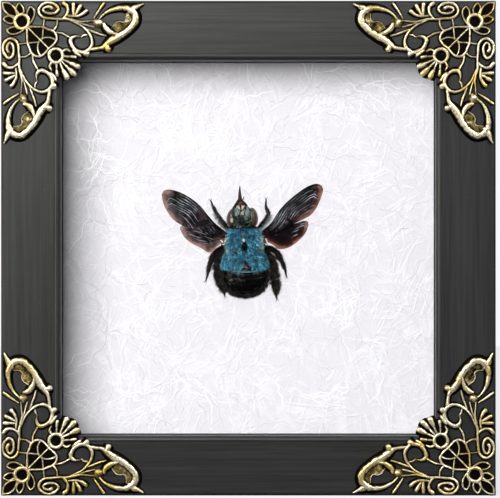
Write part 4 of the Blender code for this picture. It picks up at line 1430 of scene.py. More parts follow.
# Half widths down the abdomen and up the head
ABDOMEN_OUTLINE = (
    (-1.2, 4.4), (-2.2, 5.4), (-3.6, 6.2), (-5.2, 6.75), (-7.0, 7.1), (-8.8, 7.3), (-10.6, 7.2),
    (-12.2, 6.5), (-13.5, 5.2), (-14.4, 3.3), (-14.85, 1.4),
)
HEAD_OUTLINE = (
    (6.6, 0.9), (6.85, 2.3), (7.7, 3.5), (9.2, 4.1), (10.4, 3.9), (11.6, 3.2), (12.8, 2.3), (13.8, 1.5),
    (14.6, 0.95), (15.0, 0.5),
)
# Hair colours
THORAX_BLUES = ((46, 136, 172), (78, 166, 196), (30, 98, 130), (142, 196, 208), (54, 148, 182))
SEGMENT_BLUES = ((46, 136, 168), (78, 164, 190), (30, 96, 126), (140, 192, 204), (54, 146, 176))
SIDE_PALES = ((206, 210, 176), (236, 236, 220), (124, 176, 160))
BASE_DARKS = ((10, 9, 9), (26, 22, 20), (62, 56, 46), (14, 30, 36))
PATCH_VIOLETS = ((186, 176, 190), (84, 52, 92), (226, 220, 228))
FRINGE_DARKS = ((10, 9, 9), (24, 20, 19), (54, 46, 41))
FACE_GREENS = ((70, 100, 92), (130, 156, 138), (26, 46, 44), (170, 186, 164))
FACE_PALES = ((176, 198, 204), (214, 228, 230), (140, 172, 180))
LEG_DARKS = ((20, 16, 15), (38, 30, 27), (66, 54, 48))
LEG_PALES = ((150, 158, 154), (198, 202, 196), (110, 122, 118))


def strand(layout: Layout, line: Points, sides: int = 10) -> Shape:
    """A limb along points that are given as mm right, up and over the paper with a radius."""
    return limb([layout.on_paper(*point[:3]) for point in line], [point[3] for point in line], sides)


@dataclass
class Body:
    """The bee's head, thorax and abdomen. Places are mm from the frame's middle and over the paper."""

    layout: Layout
    thorax: tuple = (-1.22, 1.6, 4.7)
    thorax_half: tuple = (5.35, 3.7, 4.6)
    thorax_squareness: float = 0.58
    spot: tuple = (-1.2, 0.6)
    spot_half: tuple = (0.8, 1.05, 1.3)
    chip: tuple = (-1.45, 2.45)
    abdomen_x: float = -1.1
    abdomen_height: float = 4.4
    abdomen_half: float = 7.4
    flatness: float = 0.54
    plate_ends: tuple = (-7.3, -9.2, -10.8, -12.1, -13.2, -14.1)
    rim_radius: float = 0.07
    rim_lift: float = 0.02
    slit: tuple = ((-4.75, -1.05), (-4.2, -1.3), (-3.6, -1.7), (-3.0, -2.0))
    slit_lift: float = 0.62

    def thorax_skin(self) -> Shape:
        """The squarish dome under the fur."""
        bm = bmesh.new()
        bmesh.ops.create_uvsphere(bm, u_segments=72, v_segments=44, radius=1)
        for vert in bm.verts:
            vert.co = [math.copysign(abs(side) ** self.thorax_squareness, side) for side in vert.co]
            vert.co *= 1 + 0.03 * noise.noise(vert.co * 3.0)
        size = Matrix.Diagonal((*(side * MM for side in self.thorax_half), 1))
        place = Matrix.Translation(self.layout.on_paper(*self.thorax))
        move(bm, place @ size)
        return bm

    def off_spot(self, spots: Spots) -> Array:
        """How far each spot is from the bald spot, as a share of that one's size."""
        right, up = self.spot
        return np.hypot((spots.right - right) / self.spot_half[0], (spots.up - up) / self.spot_half[2])

    def fur_shade(self, spots: Spots) -> Array:
        """How light the blue fur is: cloudy, with painted shade in the crease behind the thorax, darker in
        front and along the slit.
        """
        right, up = spots.right - self.thorax[0], spots.up
        cloud = np.array([noise.fractal(Vector(place) / (1.9 * MM), 0.8, 2.0, 3) for place in spots.places])
        # Painted shade in the crease between the thorax and the first segment.
        crease = np.exp(-(((up + 3.7 - 0.02 * right**2) / 0.5) ** 2)) * np.clip(np.abs(right) / 2.5 - 0.1, 0, 1)
        front = np.exp(-(((up - 5.6) / 1.1) ** 2 + (right / 2.6) ** 2))
        slit = np.exp(-(((right + 2.5) / 0.8) ** 2 + ((up + 1.6 + 0.35 * (right + 2.5)) / 0.22) ** 2))
        return np.clip(1.15 + 1.7 * cloud - 0.8 * crease - 0.7 * front - 1.3 * slit, 0.03, 2.5)

    def build_thorax(self) -> None:
        """The thorax: its skin, its fur, the bald spot and the chip over it."""
        bm = self.thorax_skin()
        skin = Skin(bm, self.layout)
        add_piece("thorax_skin", bm, DEEP_BLUE_CHITIN, "blue_hair", ["bee_thorax"])
        middle = np.array(self.layout.on_paper(*self.thorax))
        Coat(14, 0.95, 0.062, 0.42, 0.23, 0.2, THORAX_BLUES, 11, tuft=8, pinch=0.4, patchiness=0.55).cover(
            skin, "thorax_fur", "blue_hair", 3,
            lambda s: ((self.off_spot(s) >= 1.25) & (s.up <= 5.75)) * np.where(s.away < 0.35, 1.0, 0.12),
            lambda places: (places - middle) * (1, 0, 1) / (9 * MM, 1, 9 * MM) + (0, 0, -0.6),
            self.fur_shade,
        )
        Coat(9, 1.4, 0.08, 0.5, 0.35, 0.2, SIDE_PALES, 12, tuft=6).cover(
            skin, "thorax_side_hair", "blue_hair", 4,
            lambda s: (np.abs(s.right - self.thorax[0]) > 4.1) & (np.abs(s.up - 0.9) < 3.3) & (s.away < 0.4),
            lambda places: (places - middle) * (1, 0, 0.3),
        )
        add_piece("thorax_bald_spot", blob(skin.at(*self.spot), self.spot_half), PIT_CHITIN, "black_chitin")
        add_piece("thorax_chip", self.chip_over(skin.at(*self.chip)), PALE_CHITIN, "blue_hair")
        places = skin.line(smoothed(self.slit, 4), self.slit_lift)
        radii = [0.26 * math.sin(0.15 + 2.8 * i / (len(places) - 1)) for i in range(len(places))]
        add_piece("thorax_slit", limb(places, radii), SLIT_CHITIN, "blue_hair")
        self.build_leg_bases()
        # Pale blobs at the wings' roots: painted highlights on the wing bases.
        root_highlights = bmesh.new()
        for *place, half, lean in ROOT_PAINTED_HIGHLIGHTS:
            merge(root_highlights, blob(self.layout.on_paper(*place), half, lean, 8))
        add_piece("wing_root_flecks", root_highlights, PALE_CHITIN, "black_chitin")

    def chip_over(self, point: Vector) -> Shape:
        """The pale chip that stands over a point of the thorax, narrower at its top."""
        chip = blob(point - Vector((0, 0.6 * MM, 0)), (0.4, 0.22, 0.62), -0.3, 8)
        for vert in chip.verts:
            above = (vert.co.z - point.z) / (0.6 * MM)
            vert.co.x = point.x + (vert.co.x - point.x) * (1 - 0.55 * max(above, 0))
        return chip

    def build_leg_bases(self) -> None:
        """The dark hairy underside that the legs and the wings come from, and the neck."""
        bases = blob(self.layout.on_paper(-1.3, 0.1, 2.5), (7.2, 1.7, 4.9), 0.0, 24)
        merge(bases, blob(self.layout.on_paper(-1.7, 6.2, 3.4), (4.2, 1.6, 1.2), 0.0, 20))
        skin = Skin(bases, self.layout)
        add_piece("leg_bases", bases, LEG_CHITIN, "black_chitin")
        middle = np.array(self.layout.on_paper(-1.3, 2.0, 3.0))
        coat = Coat(11, 1.0, 0.06, 0.5, 0.3, 0.2, BASE_DARKS, 14)
        coat.cover(
            skin, "leg_base_hair", "black_chitin", 15,
            lambda s: s.away < 0.1,
            lambda places: (places - middle) * (1, 0, 1),
        )

    def abdomen_profile(self) -> list[tuple[float, float]]:
        """Half widths down the abdomen, with a fine step at each plate's rear edge."""
        profile = []
        for up, half in smoothed(ABDOMEN_OUTLINE, 12):
            passed = [step - up for step in self.plate_ends if up < step]
            profile.append((up, half - 0.3 * math.exp(-min(passed) / 0.7) if passed else half))
        return [*profile, (-14.95, 0.0)]

    def abdomen_skin(self) -> Shape:
        """The abdomen, spun from its profile, flattened, and bowed so that each plate's edge hangs down."""
        bm = turned_solid(self.abdomen_profile(), 96)
        for vert in bm.verts:
            vert.co = self.bowed(vert.co)
        return face_outwards(bm)

    def bowed(self, point: Vector) -> Vector:
        """Where a point of the spun abdomen lies once its plates are bowed and it is flattened."""
        fade = ramp(point.z + 14.9, 8)
        up = point.z + 1.8 * fade * (point.x / self.abdomen_half) ** 2
        up -= 0.3 * fade * (point.y < 0) * abs(point.y) / self.abdomen_half
        height = self.abdomen_height - point.y * self.flatness
        return self.layout.on_paper(self.abdomen_x + point.x, up, height)

    def plate_rims(self) -> Shape:
        """The thin pale rear rim of each plate, across the side that shows."""
        profile = self.abdomen_profile()
        whole, _ = with_relief()
        angles = np.linspace(0.06, math.pi - 0.06, 40)
        for step in self.plate_ends[1:]:
            half = next(half for up, half in profile if up < step) + self.rim_lift
            places = [self.bowed(Vector((half * math.cos(a), -half * math.sin(a), step))) for a in angles]
            merge(whole, limb(places, [self.rim_radius * math.sin(a) ** 0.4 for a in angles], 8))
        return whole

    def blue_rim(self, skin: Skin) -> Shape:
        """The thin light line along the rear edge of the blue first segment."""
        places = skin.line([(right, self.blue_edge(right)) for right in np.linspace(-7.9, 5.5, 48)])
        return limb(places, [0.11 * math.sin(0.2 + 2.74 * i / 47) for i in range(48)], 8)

    def blue_edge(self, right: Array) -> Array:
        """How far up the blue first segment ends, at each distance right of the frame's middle."""
        return -7.3 + 1.25 * ((right - self.abdomen_x) / self.abdomen_half) ** 2

    def off_patch(self, spots: Spots) -> Array:
        """How many mm each spot lies outside the bald patch, which widens down to the blue's edge."""
        down = np.clip((-3.4 - spots.up) / 3.7, 0, 1)
        ragged = np.array([0.35 * noise.noise(Vector(place) / (0.6 * MM)) for place in spots.places])
        reach = np.where(spots.up < -3.4, 0.5 + 1.4 * down**1.3, -9.0)
        return np.abs(spots.right + 0.85 - 0.4 * down) - reach + ragged

    def on_blue(self, spots: Spots) -> Array:
        """Which spots the fur of the first segment grows on: all of it but the bald patch."""
        blue = (spots.up > self.blue_edge(spots.right) + 0.35) & (spots.away < 0.5)
        return blue & (self.off_patch(spots) > 0)

    def on_patch(self, spots: Spots) -> Array:
        """Which spots are on the bald patch of the first segment."""
        above = (spots.up > self.blue_edge(spots.right) + 0.3) & (spots.up < -4.6)
        return (self.off_patch(spots) < -0.1) & above & (spots.away < 0)

    def on_flank(self, spots: Spots) -> Array:
        """Which spots are on the abdomen's flanks and tip."""
        flank = (np.abs(spots.away) < 0.55) & (spots.up < -6.5)
        rear = (np.hypot((spots.right - self.abdomen_x) / 6.6, (spots.up + 7.5) / 6.4) > 1) & (spots.up < -9)
        return flank | (rear & (spots.away < 0))

    def build_abdomen(self) -> None:
        """The abdomen: its glossy skin, the blue first segment, and the dark fringe round it."""
        bm = self.abdomen_skin()
        skin = Skin(bm, self.layout)
        add_piece("abdomen_skin", bm, BLACK_CHITIN, "black_chitin", ["bee_abdomen"])
        add_piece("abdomen_plate_rims", self.plate_rims(), RIM_CHITIN, "black_chitin")
        add_piece("first_segment_rim", self.blue_rim(skin), BLUE_RIM, "blue_hair")
        middle = np.array(self.layout.on_paper(self.abdomen_x, -7, self.abdomen_height))
        fur = Coat(14, 0.95, 0.062, 0.36, 0.23, 0.2, SEGMENT_BLUES, 21, tuft=8, pinch=0.4, patchiness=0.55)
        fur.cover(
            skin, "first_segment_fur", "blue_hair", 5,
            self.on_blue,
            lambda places: (places - middle) * (0.5, 0, 0) / (9 * MM) + (0, 0, -1.0),
            self.fur_shade,
        )
        sparse = Coat(6, 0.36, 0.15, 0.9, 0.9, 0.1, PATCH_VIOLETS, 23, tuft=1)
        sparse.cover(skin, "first_segment_sparse_hair", "black_chitin", 13, self.on_patch, (0.3, 0.0, -1.0))
        fringe = Coat(12, 1.25, 0.06, 0.4, 0.28, 0.3, FRINGE_DARKS, 22)
        fringe.cover(skin, "abdomen_fringe", "black_chitin", 6, self.on_flank, (0.0, -0.2, -1.0))

    def head_skin(self) -> Shape:
        """The head and its muzzle, spun from a profile and flattened."""
        bm = face_outwards(turned_solid([(up - 9.5, half) for up, half in smoothed(HEAD_OUTLINE, 5)], 48))
        for vert in bm.verts:
            vert.co.x -= 0.12 * vert.co.z
            vert.co.y *= 0.78
        place = Matrix.Translation(self.layout.on_paper(-1.98, 9.5, 4.3))
        move(bm, place @ Matrix.Diagonal((MM, MM, MM, 1)))
        return bm

    def build_head(self) -> None:
        """The head: its skin, eyes, face plates, jaws, hair and tongue."""
        bm = self.head_skin()
        skin = Skin(bm, self.layout)
        add_piece("head_skin", bm, LEG_CHITIN, "grey_haired_face", ["bee_head"])
        # Each eye: its place, its lean, where its painted highlight sits, and how far that highlight reaches.
        eyes = {
            Side.LEFT: ((-5.15, 9.35, 4.5), 0.2, (-4.95, 8.5), (0.62, 9.0, 0.85)),
            Side.RIGHT: ((1.4, 9.6, 4.5), -0.2, (0.85, 9.3), (0.26, 9.0, 0.9)),
        }
        for side, (place, lean, fleck, reach) in eyes.items():
            name = f"eye_{side.name.lower()}"
            middle = self.layout.on_paper(*fleck, 6.0)
            finish = EyeGlaze(f"{name}_finish", tuple(middle), tuple(size * MM for size in reach))
            eye = blob(self.layout.on_paper(*place), (1.5, 2.2, 2.85), lean, 24)
            add_piece(name, eye, finish, "grey_haired_face")
        for name, outline, finish in FACE_PLATES:
            plate = self.face_plate(skin, outline)
            add_piece(f"face_plate_{name}", plate, finish, "grey_haired_face", sharp=60)
        sutures, _ = with_relief()
        for line in FACE_SUTURES:
            places = skin.line(smoothed(line, 4), 0.04)
            merge(sutures, limb(places, [0.17 - 0.09 * i / len(places) for i in range(len(places))], 8))
        add_piece("face_sutures", sutures, BLACK_CHITIN, "grey_haired_face")
        for side, line in ((Side.LEFT, JAW_LEFT), (Side.RIGHT, JAW_RIGHT)):
            jaw = strand(self.layout, smoothed(line, 4))
            add_piece(f"jaw_{side.name.lower()}", jaw, LEG_CHITIN, "black_chitin")
        self.grow_face_hair(skin)
        tongue = strand(self.layout, smoothed(TONGUE, 4), 14)
        add_piece("tongue_sheath", tongue, TONGUE_CHITIN, "black_chitin", ["bee_tongue"])
        add_piece("palp", strand(self.layout, smoothed(PALP, 4), 8), TONGUE_CHITIN, "black_chitin")

    def face_plate(self, skin: Skin, outline: Sequence[tuple]) -> Shape:
        """A thin plate with bevelled edges that lies on the face."""
        bm = bmesh.new()
        rim = extruded(bm, skin.line(outline, -0.1), (0, -0.32 * MM, 0))
        bevelled(bm, rim, 0.12, 3)
        return face_outwards(bm)

    def on_face(self, spots: Spots) -> Array:
        """Which spots are on the face and the crown, without the bare plates."""
        return (np.abs(spots.right + 1.75) < 2.9) & (spots.up < 11.9) & (spots.away < 0.2)

    def beside_plates(self, spots: Spots) -> Array:
        """Which spots are in the two patches beside the bare plates."""
        left = np.hypot((spots.right + 3.6) / 0.8, (spots.up - 10.9) / 1.1) < 1
        other = np.hypot((spots.right + 0.3) / 0.65, (spots.up - 10.9) / 1.6) < 1
        return (left | other) & (spots.away < 0.2)

    def grow_face_hair(self, skin: Skin) -> None:
        """Grey-green hair between the eyes, and a pale patch beside each eye."""
        coat = Coat(11, 0.7, 0.07, 0.4, 0.45, 0.1, FACE_GREENS, 31, tuft=8, patchiness=0.6)
        coat.cover(skin, "face_hair", "grey_haired_face", 7, self.on_face, (0.0, 0.0, 1.0))
        pale = Coat(10, 0.6, 0.08, 0.3, 0.2, 0.1, FACE_PALES, 32, patchiness=0.2)
        pale.cover(skin, "pale_face_hair", "grey_haired_face", 8, self.beside_plates, (0.0, 0.0, 1.0))

    def build(self) -> None:
        """Makes the three parts of the body."""
        self.build_thorax()
        self.build_abdomen()
        self.build_head()


@dataclass(frozen=True)
class Leg:
    """One leg: its joints as mm right, up and over the paper with a radius, and the hair it carries."""

    name: str
    hair_doublings: int
    hair_length: float
    joints: tuple
    fringe: tuple | None = None


LEGS = (
    Leg("front_leg_left", 10, 0.6, (
        (-4.6, 4.7, 2.2, 0.6), (-6.4, 6.2, 1.7, 0.56), (-8.3, 8.5, 1.5, 0.62), (-9.9, 10.9, 1.3, 0.52),
        (-11, 13.1, 1, 0.34), (-11.6, 14.7, 0.7, 0.2),
    ), fringe=(-0.8, -0.6)),
    Leg("front_leg_right", 10, 0.6, (
        (1.9, 4.9, 2.2, 0.6), (3.2, 6.2, 1.7, 0.56), (5.1, 8.5, 1.5, 0.64), (6.3, 10.4, 1.3, 0.56),
        (5.35, 12.6, 1, 0.4), (5.4, 15.1, 0.7, 0.2),
    ), fringe=(0.8, -0.6)),
    Leg("middle_leg_left", 10, 0.8, (
        (-6, 1.4, 2.2, 0.6), (-8.2, 0.2, 1.7, 0.7), (-10.6, -1.8, 1.6, 0.9), (-11.9, -5.2, 1.4, 0.76),
        (-12.5, -8, 1, 0.4), (-13.1, -10.1, 0.7, 0.18),
    )),
    Leg("middle_leg_right", 10, 0.8, (
        (3.6, 1.4, 2.2, 0.6), (5.8, 0.4, 1.7, 0.66), (8.5, -1, 1.6, 0.9), (10.3, -4.2, 1.4, 0.76),
        (11.3, -6.8, 1, 0.4), (11.7, -8.9, 0.7, 0.18),
    )),
    Leg("hind_leg_left", 12, 1.1, (
        (-6.4, -1, 2.2, 1), (-8.2, -2.2, 1.8, 1.2), (-9.5, -4.4, 1.6, 1.15), (-9.4, -6.8, 1.6, 1.25),
        (-8.95, -9.3, 1.6, 1.3), (-8.15, -11.5, 1.4, 1.1), (-7.5, -13.3, 1, 0.52), (-7.2, -14.8, 0.7, 0.18),
    )),
    Leg("hind_leg_right", 12, 1.1, (
        (4, -1, 2.2, 1), (6.1, -2.2, 1.8, 1.2), (7.6, -4.4, 1.6, 1.2), (7.7, -6.9, 1.6, 1.3),
        (8.15, -9.5, 1.7, 1.38), (8.5, -12, 1.5, 1.15), (8.4, -13.9, 1.1, 0.55), (8.75, -15.7, 0.7, 0.18),
    )),
)


@dataclass
class Legs:
    """The six jointed legs with their claws and hair."""

    layout: Layout
    claw_length: float = 0.75
    claw_shape: tuple = ((-0.1, 0.1, 0.1), (0.35, 0.42, 0.09), (0.8, 0.5, 0.06), (1.0, 0.28, 0.02))

    def shaft(self, leg: Leg) -> Shape:
        """The leg's segments: each swells between its joints, and the foot is ringed."""
        line = []
        last = len(leg.joints) - 2
        for i, (start, end) in enumerate(zip(leg.joints, leg.joints[1:])):
            rings = 5 if i >= last - (len(leg.joints) > 6) else 1
            for ring in range(rings):
                for share, swell in ((0.0, 0.72), (0.12, 0.98), (0.5, 1.12), (0.88, 0.96)):
                    way = (ring + share) / rings
                    *place, radius = (a + (b - a) * way for a, b in zip(start, end))
                    line.append((*place, radius * swell))
        line.append((*leg.joints[-1][:3], leg.joints[-1][3] * 0.7))
        return strand(self.layout, line, 12)

    def claws(self, leg: Leg) -> Shape:
        """The pair of hooks at the leg's end."""
        end, before = (Vector(joint[:3]) for joint in (leg.joints[-1], leg.joints[-2]))
        way = (end - before).normalized()
        across = Vector((-way.y, way.x, 0)).normalized()
        both, _ = with_relief()
        for side in (-1, 1):
            line = []
            for t, spread, radius in self.claw_shape:
                point = end + self.claw_length * (way * t + across * side * spread)
                line.append((point.x, point.y, max(point.z, 0.3), radius))
            merge(both, strand(self.layout, line, 6))
        return both

    def build(self) -> None:
        """Makes every leg."""
        for leg in LEGS:
            bm = self.shaft(leg)
            skin = Skin(bm, self.layout)
            merge(bm, self.claws(leg))
            add_piece(f"{leg.name}_shaft", bm, LEG_CHITIN, "black_chitin", [f"bee_{leg.name}"], 60)
            self.grow_hair(leg, skin)
            if leg.fringe:
                self.add_fringe(leg, skin)

    def grow_hair(self, leg: Leg, skin: Skin) -> None:
        """Dark hair that lies along the leg, sparse on its foot."""
        way = Vector(leg.joints[-1][:3]) - Vector(leg.joints[1][:3])
        tip = leg.joints[-2][1]
        coat = Coat(leg.hair_doublings, leg.hair_length, 0.055, 0.6, 0.25, 0.35, LEG_DARKS, 41)
        coat.cover(
            skin, f"{leg.name}_hair", "black_chitin", 9,
            lambda s: np.where((s.up - tip) * way.y > 0, 0.12, 1.0),
            (way.x, 0.0, way.y),
        )

    def add_fringe(self, leg: Leg, skin: Skin) -> None:
        """Long pale hair up to the knee, on the side of a leg that faces the wing."""
        side = (leg.fringe[0], 0.0, leg.fringe[1])
        knee = leg.joints[3][1]
        coat = Coat(9, 1.5, 0.055, 0.8, 0.18, 0.1, LEG_PALES, 43, tuft=3, pinch=0.2, patchiness=0.25)
        coat.cover(
            skin, f"{leg.name}_pale_fringe", "black_chitin", 10,
            lambda s: ((s.normals * side).sum(1) > 0.25) & (s.up < knee),
            side,
        )


@dataclass(frozen=True)
class WingShape:
    """A wing's front and rear edges from its root to its tip, in mm right of and above the middle."""

    name: str
    height: float
    front: tuple
    rear: tuple
    spacing: float
    ridged: tuple
    seed: float
    joined: float
    margin: float


WINGS = (
    WingShape("forewing_left", 6.2, (
        (-5.9, 3.9), (-8.6, 6.1), (-10.6, 7.9), (-12.8, 10.5), (-15.1, 13.3), (-18.1, 15.6), (-21.2, 17.2),
        (-24, 17.9), (-25.7, 17.6), (-26.5, 16.6),
    ), (
        (-6.2, 3), (-10.4, 3.7), (-14, 4.7), (-19.4, 6.6), (-22.6, 8.4), (-24.4, 10.5), (-25.9, 13.3),
        (-26.5, 16), (-26.5, 16.6),
    ), 0.64, (0.06, 1.1), 2.0, 0.5, 2.9),
    WingShape("hindwing_left", 5.4, (
        (-6, 3.3), (-9.6, 4.4), (-13, 5.5), (-18.5, 7.1), (-20.4, 6.9), (-20.9, 5.9),
    ), (
        (-6.2, 2.2), (-7.4, 1.8), (-9.6, 0.6), (-11, -0.9), (-12.4, -1.3), (-14.5, 0), (-17.7, 1.7),
        (-19.8, 3.6), (-20.9, 5.9),
    ), 0.62, (0.2, 0.85), 5.0, 0.05, 3.0),
    WingShape("forewing_right", 6.2, (
        (3.2, 4.1), (5.2, 6), (7.2, 7.9), (9.5, 11.5), (12, 14.3), (15, 16.8), (17.9, 18.8), (20.7, 19.7),
        (22.3, 19.1), (22.9, 17.9),
    ), (
        (3.5, 3.2), (7.2, 4.3), (10.6, 5.8), (15, 8), (18.6, 9.8), (20.5, 11.9), (21.8, 14.4), (22.6, 16.6),
        (22.9, 17.9),
    ), 0.68, (0.1, 1), 8.0, 0.42, 2.9),
    WingShape("hindwing_right", 5.4, (
        (3.3, 3.5), (6.6, 4.7), (10, 5.8), (15.5, 8), (17.8, 8.3), (18.4, 7.2),
    ), (
        (3.5, 2.6), (4.6, 2.3), (7.2, 1.2), (9.1, -0.2), (11.4, -0.1), (13.6, 0.9), (16.1, 3), (17.6, 4.9),
        (18.4, 7.2),
    ), 0.62, (0.45, 0.7), 11.0, 0.05, 2.2),
)


@dataclass
class Wings:
    """The two pairs of folded, veined wings."""

    layout: Layout
    grid: tuple = (170, 120)
    fold_height: float = 0.075
    thickness: float = 0.06
    sink: float = math.radians(5)

    def edge_at(self, line: Sequence[Array], share: float) -> Array:
        """The point at this share of an edge."""
        place = min(share, 0.99999) * (len(line) - 1)
        before = int(place)
        return line[before] + (line[before + 1] - line[before]) * (place - before)

    def fold(self, wing: WingShape, lines: tuple, along: float, across: float) -> float:
        """How high the membrane is folded, from about -1 to 1: its ridges run beside the front edge."""
        flat = self.flat_place(lines, along, across)
        behind = np.linalg.norm(np.array(lines[0]) - flat, axis=1).min()
        drift = 0.75 * noise.noise(Vector((along * 6.0, across * 2.5, wing.seed)))
        ridge = math.sin((behind / wing.spacing + drift) * math.tau)
        broken = 0.75 + 0.9 * noise.noise(Vector((along * 5, behind * 1.6, wing.seed + 3)))
        fine = 0.3 * noise.noise(Vector((along * 14, across * 30, wing.seed + 7)))
        start, deep = wing.ridged
        outer = ramp(along - start, 0.15) * ramp(deep - across, 0.15)
        leading = 0.6 * ramp(0.4 - across, 0.1) * ramp(along, 0.1)
        rise = ramp(1 - along, 0.06) * ramp(min(across, 1 - across), 0.04)
        return (ridge * broken + fine) * max(outer, leading) * rise**0.5

    def flat_place(self, lines: tuple, along: float, across: float) -> Array:
        """The place in the view at these shares of a wing's length and width."""
        front, rear = (self.edge_at(line, along) for line in lines)
        return front + (rear - front) * across

    def place(self, wing: WingShape, lines: tuple, along: float, across: float, fold: float) -> Vector:
        """The membrane's point at these shares of its length and width, folded that high."""
        right, up = self.flat_place(lines, along, across)
        height = wing.height - abs(right - wing.front[0][0]) * math.tan(self.sink)
        return self.layout.on_paper(right, up, height + self.fold_height * fold)

    def membrane(self, wing: WingShape, lines: tuple) -> Shape:
        """The membrane with its nearness to the outer edge in "edge" and its folds in "crown"."""
        bm = bmesh.new()
        edge = bm.verts.layers.float.new("edge")
        crown = bm.verts.layers.float.new("crown")
        bmesh.ops.create_grid(bm, x_segments=self.grid[0], y_segments=self.grid[1], size=1)
        front, rear = lines
        margin = np.array(rear[int(wing.joined * len(rear)) :] + front[int(0.87 * len(front)) :])
        for vert in bm.verts:
            along, across = (vert.co.x + 1) / 2, (vert.co.y + 1) / 2
            vert[crown] = self.fold(wing, lines, along, across)
            vert.co = self.place(wing, lines, along, across, vert[crown])
            away = np.linalg.norm(margin - (vert.co.x / MM, (vert.co.z - self.layout.half) / MM), axis=1).min()
            vert[edge] = max(1 - away / (wing.margin + 2.2 * max(along - 0.7, 0) / 0.3), 0.0)
        bmesh.ops.remove_doubles(bm, verts=bm.verts, dist=1e-6)
        face_outwards(bm)
        bmesh.ops.solidify(bm, geom=bm.faces[:], thickness=self.thickness * MM)
        return face_outwards(bm)

    def veins(self, wing: WingShape, lines: tuple) -> Shape:
        """The thick front vein and the finer ones that fan out behind it."""
        whole, _ = with_relief()
        runs = ((0.015, 0.93, 0.24), (0.1, 0.6, 0.13), (0.3, 0.72, 0.1), (0.52, 0.66, 0.09), (0.78, 0.5, 0.08))
        for across, reach, radius in runs:
            shares = np.linspace(0.0, reach, 40)
            folds = [self.fold(wing, lines, share, across) for share in shares]
            places = [self.place(wing, lines, share, across, fold + 0.4) for share, fold in zip(shares, folds)]
            merge(whole, limb(places, [radius * (1 - 0.75 * share / reach) for share in shares], 8))
        return whole

    def build(self) -> None:
        """Makes every wing, and the plate that covers each pair's root."""
        membranes = {
            Side.LEFT: Membrane("left_membrane_finish"),
            # Painted shade: the right pair's copy of the membrane is darker and redder than the left pair's.
            Side.RIGHT: Membrane("right_membrane_finish", brown=srgb(58, 26, 22), amber=srgb(146, 98, 80)),
        }
        for wing in WINGS:
            membrane = membranes[Side.LEFT if wing.front[0][0] < 0 else Side.RIGHT]
            lines = (smoothed(wing.front, 8), smoothed(wing.rear, 8))
            sheet = self.membrane(wing, lines)
            add_piece(f"{wing.name}_membrane", sheet, membrane, "smoky_wing", [f"bee_{wing.name}"], 180)
            add_piece(f"{wing.name}_veins", self.veins(wing, lines), BLACK_CHITIN, "smoky_wing")
        roots = {Side.LEFT: ((-6.3, 3.4, 6.4), 0.7), Side.RIGHT: ((3.6, 3.7, 6.4), -0.7)}
        for side, (place, lean) in roots.items():
            cover = blob(self.layout.on_paper(*place), (0.75, 0.5, 1.05), lean)
            add_piece(f"wing_root_{side.name.lower()}", cover, BLACK_CHITIN, "black_chitin")


# Lamps: name, place, size, power, tint and what they are for
WINDOW_LIGHT = (1.0, 0.95, 0.975)
WARM_LIGHT = (1.0, 0.93, 0.8)
LAMPS = (
    ("window", (-0.7, -1.6, 0.42), 1.5, 66.0, WINDOW_LIGHT, LampJob.FILL),
    ("paper_window", (-0.7, -1.6, 0.42), 1.5, 76.5, WINDOW_LIGHT, LampJob.FILL),
    ("key_lamp", (-0.15, -0.5, 0.3), 0.2, 1.1, (1.0, 0.97, 0.93), LampJob.HIGHLIGHT),
    ("high_left_lamp", (-0.45, -0.5, 0.5), 0.26, 2.8, (1.0, 0.99, 0.98), LampJob.HIGHLIGHT),
    ("high_right_lamp", (0.42, -0.5, 0.5), 0.26, 4.0, (0.97, 0.98, 1.0), LampJob.HIGHLIGHT),
    ("low_left_lamp", (-0.56, -0.5, 0.14), 0.2, 1.1, WARM_LIGHT, LampJob.HIGHLIGHT),
    ("low_right_lamp", (0.56, -0.5, 0.14), 0.2, 0.05, WARM_LIGHT, LampJob.HIGHLIGHT),
)


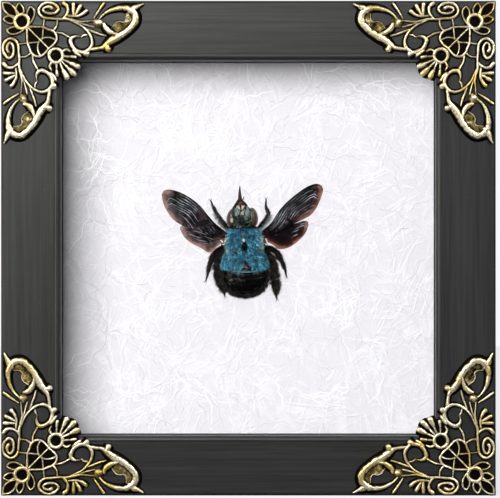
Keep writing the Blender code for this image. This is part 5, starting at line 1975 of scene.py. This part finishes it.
@dataclass
class Studio:
    """The camera, the soft lamps, and the pale floor and air round the frame."""

    layout: Layout
    distance: float = 1.05
    seen_width: float = 151.5 * MM
    aim: tuple = (0.48 * MM, -0.24 * MM)

    def build_camera(self) -> None:
        """A long lens straight in front, as far off as the box's inner walls show."""
        camera = bpy.data.cameras.new("camera")
        camera.sensor_fit = "HORIZONTAL"
        camera.sensor_width = 36.0
        camera.lens = camera.sensor_width * self.distance / self.seen_width
        camera.clip_start = 0.05
        holder = bpy.data.objects.new("camera", camera)
        right, up = self.aim
        holder.location = (right, self.layout.front - self.distance, self.layout.half + up)
        holder.rotation_euler = (math.pi / 2, 0, 0)
        bpy.context.scene.collection.objects.link(holder)
        bpy.context.scene.camera = holder

    def add_lamp(self, name: str, place: tuple, size: float, power: float, tint: tuple, job: LampJob) -> None:
        """A square soft lamp that faces the frame's middle and either fills or makes highlights."""
        lamp = bpy.data.lights.new(name, "AREA")
        lamp.shape = "SQUARE"
        lamp.size = size
        lamp.energy = power
        lamp.color = tint
        holder = bpy.data.objects.new(name, lamp)
        holder.location = place
        holder.visible_glossy = job is LampJob.HIGHLIGHT
        holder.visible_diffuse = job is LampJob.FILL
        way = Vector((0, 0, self.layout.half)) - Vector(place)
        holder.rotation_euler = way.to_track_quat("-Z", "Y").to_euler()
        bpy.context.scene.collection.objects.link(holder)

    def share_light(self, lamp: str, part: str, pieces: Sequence[str], included: bool) -> None:
        """Says which pieces a lamp's light falls on, or which throw shadows in it.

        Args:
            lamp: the lamp's name.
            part: "receiver" for its light, or "blocker" for its shadows.
            pieces: the pieces that alone take part, or alone don't.
            included: whether they do.
        """
        group = bpy.data.collections.new(f"{lamp}_{part}")
        for piece in pieces:
            group.objects.link(bpy.data.objects[piece])
        for entry in group.collection_objects:
            entry.light_linking.link_state = "INCLUDE" if included else "EXCLUDE"
        setattr(bpy.data.objects[lamp].light_linking, f"{part}_collection", group)

    def build_world(self) -> None:
        """Pale air to look at that lights softly from all round, but little from behind the camera."""
        world = bpy.data.worlds.new("studio")
        world.use_nodes = True
        bpy.context.scene.world = world
        sheet = NodeSheet(world.node_tree)
        way = sheet.add("TexCoord").outputs["Generated"]
        depth = sheet.add("SeparateXYZ", {0: way}).outputs["Y"]
        glow = sheet.remap(depth, -0.97, -0.8, 0.0, 0.22)
        seen = sheet.add("LightPath").outputs["Is Camera Ray"]
        strength = sheet.add("Mix", {0: seen, 2: glow, 3: 0.97})
        air = sheet.add("Background", {"Color": (0.98, 0.985, 1.0, 1), "Strength": strength})
        sheet.add("OutputWorld", {"Surface": air})

    def bee_pieces(self) -> list[str]:
        """The bee's own pieces, which in the photo throw hardly any shadow on the paper."""
        slots = ("blue_hair", "grey_haired_face", "black_chitin", "smoky_wing")
        return [piece.name for piece in bpy.data.objects if piece.get("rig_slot") in slots]

    def build_floor(self) -> None:
        """A wide pale floor under the frame."""
        bm = bmesh.new()
        bmesh.ops.create_grid(bm, x_segments=1, y_segments=1, size=1.6)
        mesh = new_mesh("floor", bm)
        mesh.materials.append(StudioFloor("floor_finish").material())
        floor = bpy.data.objects.new("floor", mesh)
        bpy.context.scene.collection.objects.link(floor)

    def build(self) -> None:
        """Sets up the studio."""
        bpy.context.scene.view_settings.view_transform = "Standard"
        self.build_camera()
        for lamp in LAMPS:
            self.add_lamp(*lamp)
        paper = ("backing_paper", "paper_fibres", "long_fibres")
        self.share_light("window", "receiver", paper, False)
        self.share_light("paper_window", "receiver", paper, True)
        self.share_light("paper_window", "blocker", self.bee_pieces(), False)
        self.build_world()
        self.build_floor()


def main() -> None:
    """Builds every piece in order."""
    logging.basicConfig(level=logging.INFO, format="%(name)s: %(message)s")
    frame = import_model()
    layout = Layout.measured()
    BoxFrame().build(layout, frame["nodes"])
    PressedFibres(layout).build()
    sizes = {"length": (2.6, 0.3), "width": (0.2, 0.32), "rise": (0.05, 0.09)}
    PressedFibres(layout, "long_fibres", 7, 32, gathered=1.8, white=0.97, seed=5, **sizes).build()
    CornerOrnament().build(layout)
    BackFittings(layout).build()
    Body(layout).build()
    Legs(layout).build()
    Wings(layout).build()
    Studio(layout).build()


if __name__ == "__main__":
    main()
